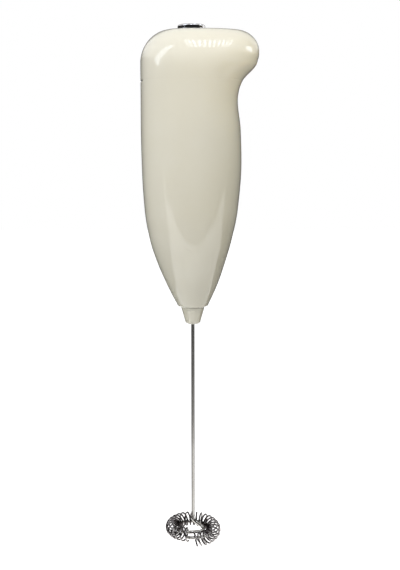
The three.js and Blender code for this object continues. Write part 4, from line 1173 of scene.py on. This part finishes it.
# %% The white surroundings
AMBIENT = 0.225

world = bpy.data.worlds.new("white_surroundings")
world.use_nodes = True
bpy.context.scene.world = world
tree = world.node_tree
sky = tree.nodes["Background"]
sky.inputs["Color"].default_value = (1, 1, 1, 1)
level = tree.nodes.new("ShaderNodeMapRange")
level.inputs["To Min"].default_value = AMBIENT
level.inputs["To Max"].default_value = 1.0
tree.links.new(seen_or_reflected(tree), level.inputs["Value"])
tree.links.new(level.outputs["Result"], sky.inputs["Strength"])
print("share of the white that lights the whisk:", AMBIENT)

# %% [markdown]
# ## Cards for the reflections
# Gloss and steel look like what stands round them. A lamp for each highlight would also light the plastic,
# and a picture of a room can't be changed piece by piece. Cards are placed one by one: they glow only in
# reflections, and the camera looks through them.

# %% Make a glowing material
def glow_card_material(name, colour, strength):
    """Glows for reflections and lets the camera look through."""
    material = bpy.data.materials.new(name)
    material.use_nodes = True
    tree = material.node_tree
    tree.nodes.clear()
    output = tree.nodes.new("ShaderNodeOutputMaterial")
    glow = tree.nodes.new("ShaderNodeEmission")
    glow.inputs["Color"].default_value = (*colour, 1)
    glow.inputs["Strength"].default_value = strength
    clear = tree.nodes.new("ShaderNodeBsdfTransparent")
    ray = tree.nodes.new("ShaderNodeLightPath")
    choose = tree.nodes.new("ShaderNodeMixShader")
    tree.links.new(ray.outputs["Is Camera Ray"], choose.inputs[0])
    tree.links.new(glow.outputs[0], choose.inputs[1])
    tree.links.new(clear.outputs[0], choose.inputs[2])
    tree.links.new(choose.outputs[0], output.inputs["Surface"])
    return material


BACK_LEVEL = 0.07
back_dark = glow_card_material("back_dark", (1, 1, 1), BACK_LEVEL)
print("dark card's glow:", BACK_LEVEL)

# %% [markdown]
# A real card is lit unevenly, brighter towards the lamps above. Several cards one above the other would
# show their edges. A curve that reads the height changes the glow without an edge.

# %% Grade a card by height
def grade_by_height(material, stops):
    """Sets the glow by (height in metres, strength) stops."""
    tree = material.node_tree
    curve = tree.nodes.new("ShaderNodeFloatCurve")
    reach = tree.nodes.new("ShaderNodeMapRange")
    low, high = stops[0][0], stops[-1][0]
    reach.inputs["From Min"].default_value = low
    reach.inputs["From Max"].default_value = high
    points = curve.mapping.curves[0].points
    for k, (height, strength) in enumerate(stops):
        spot = ((height - low) / (high - low), strength)
        if k in (0, len(stops) - 1):
            points[0 if k == 0 else -1].location = spot
        else:
            points.new(*spot)
    for point in points:
        point.handle_type = "VECTOR"
    curve.mapping.update()
    glow = next(node for node in tree.nodes if node.bl_idname == "ShaderNodeEmission")
    tree.links.new(height_in(tree), reach.inputs["Value"])
    tree.links.new(reach.outputs["Result"], curve.inputs["Value"])
    tree.links.new(curve.outputs[0], glow.inputs["Strength"])


FRONT_GRADE = [(-0.7, 0.04), (0.1, 0.04), (0.13, 0.02), (0.24, 0.02), (0.6, 0.83), (0.9, 0.83)]
LEFT_GRADE = [(-0.7, 0.02), (0.14, 0.02), (0.25, 0.9), (0.9, 0.9)]
RIGHT_GRADE = [(-0.7, 0.03), (0.13, 0.03), (0.17, 0.4), (0.4, 0.4), (0.9, 1.0)]
front_grade = glow_card_material("front_grade", (1, 1, 1), 1)
grade_by_height(front_grade, FRONT_GRADE)
left_grade = glow_card_material("left_grade", (1, 1, 1), 1)
grade_by_height(left_grade, LEFT_GRADE)
right_grade = glow_card_material("right_grade", (1, 0.86, 0.65), 1)
grade_by_height(right_grade, RIGHT_GRADE)
print("stops of the grades:", len(FRONT_GRADE), len(LEFT_GRADE), len(RIGHT_GRADE))

# %% [markdown]
# A card's edge draws a line in the gloss, so it matters where the edge is seen from the whisk. Corners in
# metres would be hard to read. Directions say it plainly: so many degrees round, and so many up.

# %% Stand a card round the whisk
def toward(azimuth, elevation, distance, origin=(0, 0, 0)):
    """A place in a direction: azimuth from the front towards the right, elevation upwards, in degrees."""
    a, e = math.radians(azimuth), math.radians(elevation)
    step = Vector((math.sin(a) * math.cos(e), -math.cos(a) * math.cos(e), math.sin(e)))
    return Vector(origin) + distance * step


def wall(name, stations, distance, material):
    """A bent upright card through stations of (azimuth, lowest elevation, highest elevation)."""
    shape = bmesh.new()
    rows = []
    for level in (1, 2):
        row = []
        for station in stations:
            spot = toward(station[0], 0, distance)
            spot.z = distance * math.tan(math.radians(station[level]))
            row.append(shape.verts.new(spot))
        rows.append([shape.edges.new(pair) for pair in zip(row, row[1:])])
    bmesh.ops.bridge_loops(shape, edges=rows[0] + rows[1])
    stage_piece(shape, name, material)


print("a step of 1 m to the right:", [round(v, 3) for v in toward(90, 0, 1)])

# %% [markdown]
# In front hangs a dark card, which gives the steel its black. A darker background would do that too, but
# it would also be seen. The card's foot is curved, because the belly's gloss shows it as a faint U, and a
# narrow rail under the foot draws a second, finer line.

# %% The dark card in front
FRONT_DISTANCE = 0.9
FRONT_TOP = 43
RAIL_HALF = 0.5
FRONT_FOOT = [(-51, -4), (-50, -7.4), (-46.4, -10.7), (-37.5, -12.2), (-32.4, -13.3), (-29.3, -17.4)]
FRONT_FOOT += [(-23.6, -21.3), (-13.9, -23.4), (-5.8, -25.2), (-0.2, -26.7), (10.3, -25.9), (25.3, -24.1)]
FRONT_FOOT += [(39.3, -20.8), (50.6, -16.9), (55.3, -12.6), (69.1, -9.5), (71.5, -9.2)]
RAIL = [(-15.7, -27.6), (-8.2, -30.3), (-1.2, -31), (6.6, -30.2), (15.7, -27.6), (25, -25.5)]

wall("front_card", [(azimuth, foot, FRONT_TOP) for azimuth, foot in FRONT_FOOT], FRONT_DISTANCE, front_grade)
wall("front_rail", [(a, e - RAIL_HALF, e + RAIL_HALF) for a, e in RAIL], FRONT_DISTANCE, front_grade)
print("front card spans, degrees:", FRONT_FOOT[0][0], "to", FRONT_FOOT[-1][0])

# %% [markdown]
# Flags at the sides and behind darken the handle's edges, so it stands out from the white. One tube round
# the whisk would do that too, but each side needs a foot, a top and a darkness of its own.

# %% The flags
SIDE_DISTANCE = 0.6
SIDE_TOP = 42
FAR_RIGHT_TOP = 12
BACK_DISTANCE = 1.1
BACK_FOOT = -26
BACK_TOP = 50
LEFT_FOOT = [(-150, -38), (-130, -41), (-111, -43.5), (-98, -44.8), (-86.4, -44.9), (-78, -43)]
LEFT_FOOT += [(-70.4, -40.4), (-58.5, -35.7), (-51.7, -28), (-47.8, -23)]
RIGHT_FOOT = [(70.8, -15.3), (78.4, -22.9), (87.8, -27.1), (93.3, -32), (97.5, -34.5), (106, -38.3)]
FAR_RIGHT_FOOT = [(106, -38.3), (117.7, -40.1), (130, -38), (150, -34)]

for name, feet, top, material in (
    ("left_flag", LEFT_FOOT, SIDE_TOP, left_grade),
    ("right_flag", RIGHT_FOOT, SIDE_TOP, right_grade),
    ("far_right_flag", FAR_RIGHT_FOOT, FAR_RIGHT_TOP, back_dark),
):
    wall(name, [(azimuth, foot, top) for azimuth, foot in feet], SIDE_DISTANCE, material)
back_stations = [(azimuth, BACK_FOOT, BACK_TOP) for azimuth in spaced(150, 210, 8)]
wall("back_flag", back_stations, BACK_DISTANCE, back_dark)
print("flags at the sides, m:", SIDE_DISTANCE, "and behind, m:", BACK_DISTANCE)

# %% [markdown]
# Overhead the white would burn out the cap's top. A card that glows less than the white takes its place.
# It is flat, so it is made from its four corners.

# %% The card overhead
CEILING_LEVEL = 0.62
OVERHEAD = 0.95
OVERHEAD_HALF = 1.2


def card(name, corners, material):
    shape = bmesh.new()
    shape.faces.new([shape.verts.new(corner) for corner in corners])
    stage_piece(shape, name, material)


ceiling = glow_card_material("ceiling", (1, 1, 1), CEILING_LEVEL)
overhead_corners = [
    (x * OVERHEAD_HALF, y * OVERHEAD_HALF, OVERHEAD) for x, y in ((-1, -1), (1, -1), (1, 1), (-1, 1))
]
card("ceiling_card", overhead_corners, ceiling)
print("card overhead at, m:", OVERHEAD)

# %% [markdown]
# ## The windows
# Two windows shine on the cap: a large one on its left shoulder, whose pane is dimmer than its frame, and
# a small one on its right. Their outlines follow the highlights back along the reflected rays, which is
# surer than moving a card about until it fits. The inset splits the large one into frame and pane.

# %% Hang the windows
CAP_MIDDLE = (0, 0, 0.04)
WINDOW_DISTANCE = 0.55
FRAME_WIDTH = 0.012
LEFT_WINDOW = [(-30.5, 44.6), (-46, 41), (-53.4, 35.4), (-59.5, 31.2), (-66.2, 23.8), (-73.3, 15.1)]
LEFT_WINDOW += [(-69.8, 11.3), (-61.4, 9.3), (-56.6, 13.4), (-50.9, 20.6), (-43.3, 28.7), (-35.7, 35.9)]
RIGHT_WINDOW = [(70.2, 29.6), (87.2, 25.1), (98.5, 14), (94, 10.8), (78, 17.9)]

window_glow = glow_card_material("window_glow", (0.84, 0.91, 1), 5.7)
pane_glow = glow_card_material("pane_glow", (0.84, 0.91, 1), 3.5)
window_shape = bmesh.new()
corners = [window_shape.verts.new(toward(a, e, WINDOW_DISTANCE, CAP_MIDDLE)) for a, e in LEFT_WINDOW]
pane = window_shape.faces.new(corners)
bmesh.ops.inset_individual(window_shape, faces=[pane], thickness=FRAME_WIDTH)
left_window = stage_piece(window_shape, "left_window", window_glow)
left_window.data.materials.append(pane_glow)
left_window.data.polygons[0].material_index = 1
card("right_window", [toward(a, e, WINDOW_DISTANCE, CAP_MIDDLE) for a, e in RIGHT_WINDOW], window_glow)
print("faces of the left window:", len(left_window.data.polygons))

# %% [markdown]
# Low on the left a short gleam runs down the handle's side. A gap in the dark cards would let the white
# show there, but it would be no brighter than white. So a small card that glows hangs before them.

# %% Hang the gleam
GLEAM = [(-51.8, -1.6), (-51.4, -6), (-49.6, -11.5), (-47, -11.5), (-48.8, -6)]
GLEAM_DISTANCE = 0.58

gleam_glow = glow_card_material("gleam_glow", (1, 1, 1), 1.3)
card("left_gleam", [toward(a, e, GLEAM_DISTANCE) for a, e in GLEAM], gleam_glow)
print("gleam's corners:", len(GLEAM))

# %% [markdown]
# ## The slats
# A row of light stripes crosses the front of the cap's top: the reflection of a slatted ceiling. Stripes
# could be painted on the plastic, but they would turn with the whisk. Narrow bright cards stay where the
# ceiling is. Each runs away from the cap, and a smooth curve through a few measured slats places the rest.

# %% Hang the slats
CEILING_HEIGHT = 0.6
SLATS = 11
SLAT_SHARE = 0.34
# The slat's number, then across and forward at its near end and at its far end, in ceiling heights.
SLAT_PLACES = [
    (-1, -0.23, 0.6, -0.16, 1.21),
    (0, -0.15, 0.617, -0.087, 1.213),
    (3, 0.06, 0.633, 0.111, 1.217),
    (6, 0.299, 0.586, 0.428, 1.204),
    (8, 0.469, 0.511, 0.666, 1.176),
    (10, 0.647, 0.381, 0.897, 1.129),
    (11, 0.74, 0.3, 1.02, 1.1),
]
near_across, near_forward, far_across, far_forward = (
    smooth([(row[0], row[column]) for row in SLAT_PLACES]) for column in (1, 2, 3, 4)
)

ceiling_glow = glow_card_material("ceiling_glow", (0.86, 0.92, 1), 8.7)
for slat in range(SLATS):
    near_half, far_half = (
        Vector((across(slat + SLAT_SHARE / 2) - across(slat - SLAT_SHARE / 2), 0, 0)) / 2
        for across in (near_across, far_across)
    )
    near = Vector((near_across(slat), -near_forward(slat), 1))
    far = Vector((far_across(slat), -far_forward(slat), 1))
    spots = (near - near_half, far - far_half, far + far_half, near + near_half)
    corners = [Vector(CAP_MIDDLE) + spot * CEILING_HEIGHT for spot in spots]
    card(f"ceiling_slat_{slat + 1}", corners, ceiling_glow)
print("slats:", SLATS)

# %% [markdown]
# ## Lamps
# Soft light comes from above, from the front, from both sides, from below and from behind, cool at the
# top and warmest at the right. One large lamp would be simpler, but the cream's shades differ from side
# to side. The lamps don't show in the gloss, because the cards do that part.

# %% Hang the softboxes
SOFTBOX_SIZE = 0.5


def hang(name, lamp, place, target, power, colour):
    """Aims a lamp at a target and keeps it out of the reflections."""
    lamp.energy = power
    lamp.color = colour
    holder = bpy.data.objects.new(name, lamp)
    holder.location = place
    holder.rotation_euler = (Vector(target) - Vector(place)).to_track_quat("-Z", "Y").to_euler()
    holder.visible_glossy = False
    bpy.context.scene.collection.objects.link(holder)


SOFTBOXES = [
    ("top_softbox", (0, -0.2, 0.8), 1.97, (0.79, 0.87, 1)),
    ("near_left_softbox", (-0.25, -0.35, 0.35), 1.74, (1, 0.93, 0.94)),
    ("near_right_softbox", (0.3, -0.3, 0.35), 1.18, (1, 0.95, 0.76)),
    ("left_softbox", (-0.95, -0.3, 0.1), 1.85, (1, 1, 0.85)),
    ("front_left_softbox", (-0.5, -0.9, 0.1), 0.45, (0.75, 0.85, 1)),
    ("right_softbox", (0.85, -0.5, 0.1), 0.3, (1, 0.6, 0.3)),
    ("low_softbox", (0, -0.8, -0.45), 0.38, (1, 1, 0.8)),
    ("back_softbox", (0, 1.0, 0.3), 5.5, (1, 0.97, 0.92)),
]
for name, place, power, colour in SOFTBOXES:
    lamp = bpy.data.lights.new(name, "AREA")
    lamp.shape = "SQUARE"
    lamp.size = SOFTBOX_SIZE
    hang(name, lamp, place, (0, 0, 0), power, colour)
print("softboxes:", len(SOFTBOXES))

# %% [markdown]
# Two spots of light fall on the beak and under it, where the photograph is brighter than the softboxes
# make it. A softbox would spill over the whole side. A snoot is a lamp in a tube, and its narrow cone
# stays on the beak.

# %% Hang the snoots
SNOOT_DISTANCE = 0.35
SNOOT_SOFTNESS = 0.02
SNOOTS = [
    ("beak_snoot", 65, 8, (0.025, -0.006, 0.0385), 7.0, 1.35, (1, 0.93, 0.86)),
    ("under_beak_snoot", 60, -32, (0.0195, -0.008, 0.0315), 5.2, 1.0, (1, 0.66, 0.1)),
]
for name, azimuth, elevation, target, angle, power, colour in SNOOTS:
    lamp = bpy.data.lights.new(name, "SPOT")
    lamp.spot_size = math.radians(angle)
    lamp.spot_blend = 1.0
    lamp.shadow_soft_size = SNOOT_SOFTNESS
    hang(name, lamp, toward(azimuth, elevation, SNOOT_DISTANCE), target, power, colour)
print("snoots:", len(SNOOTS))
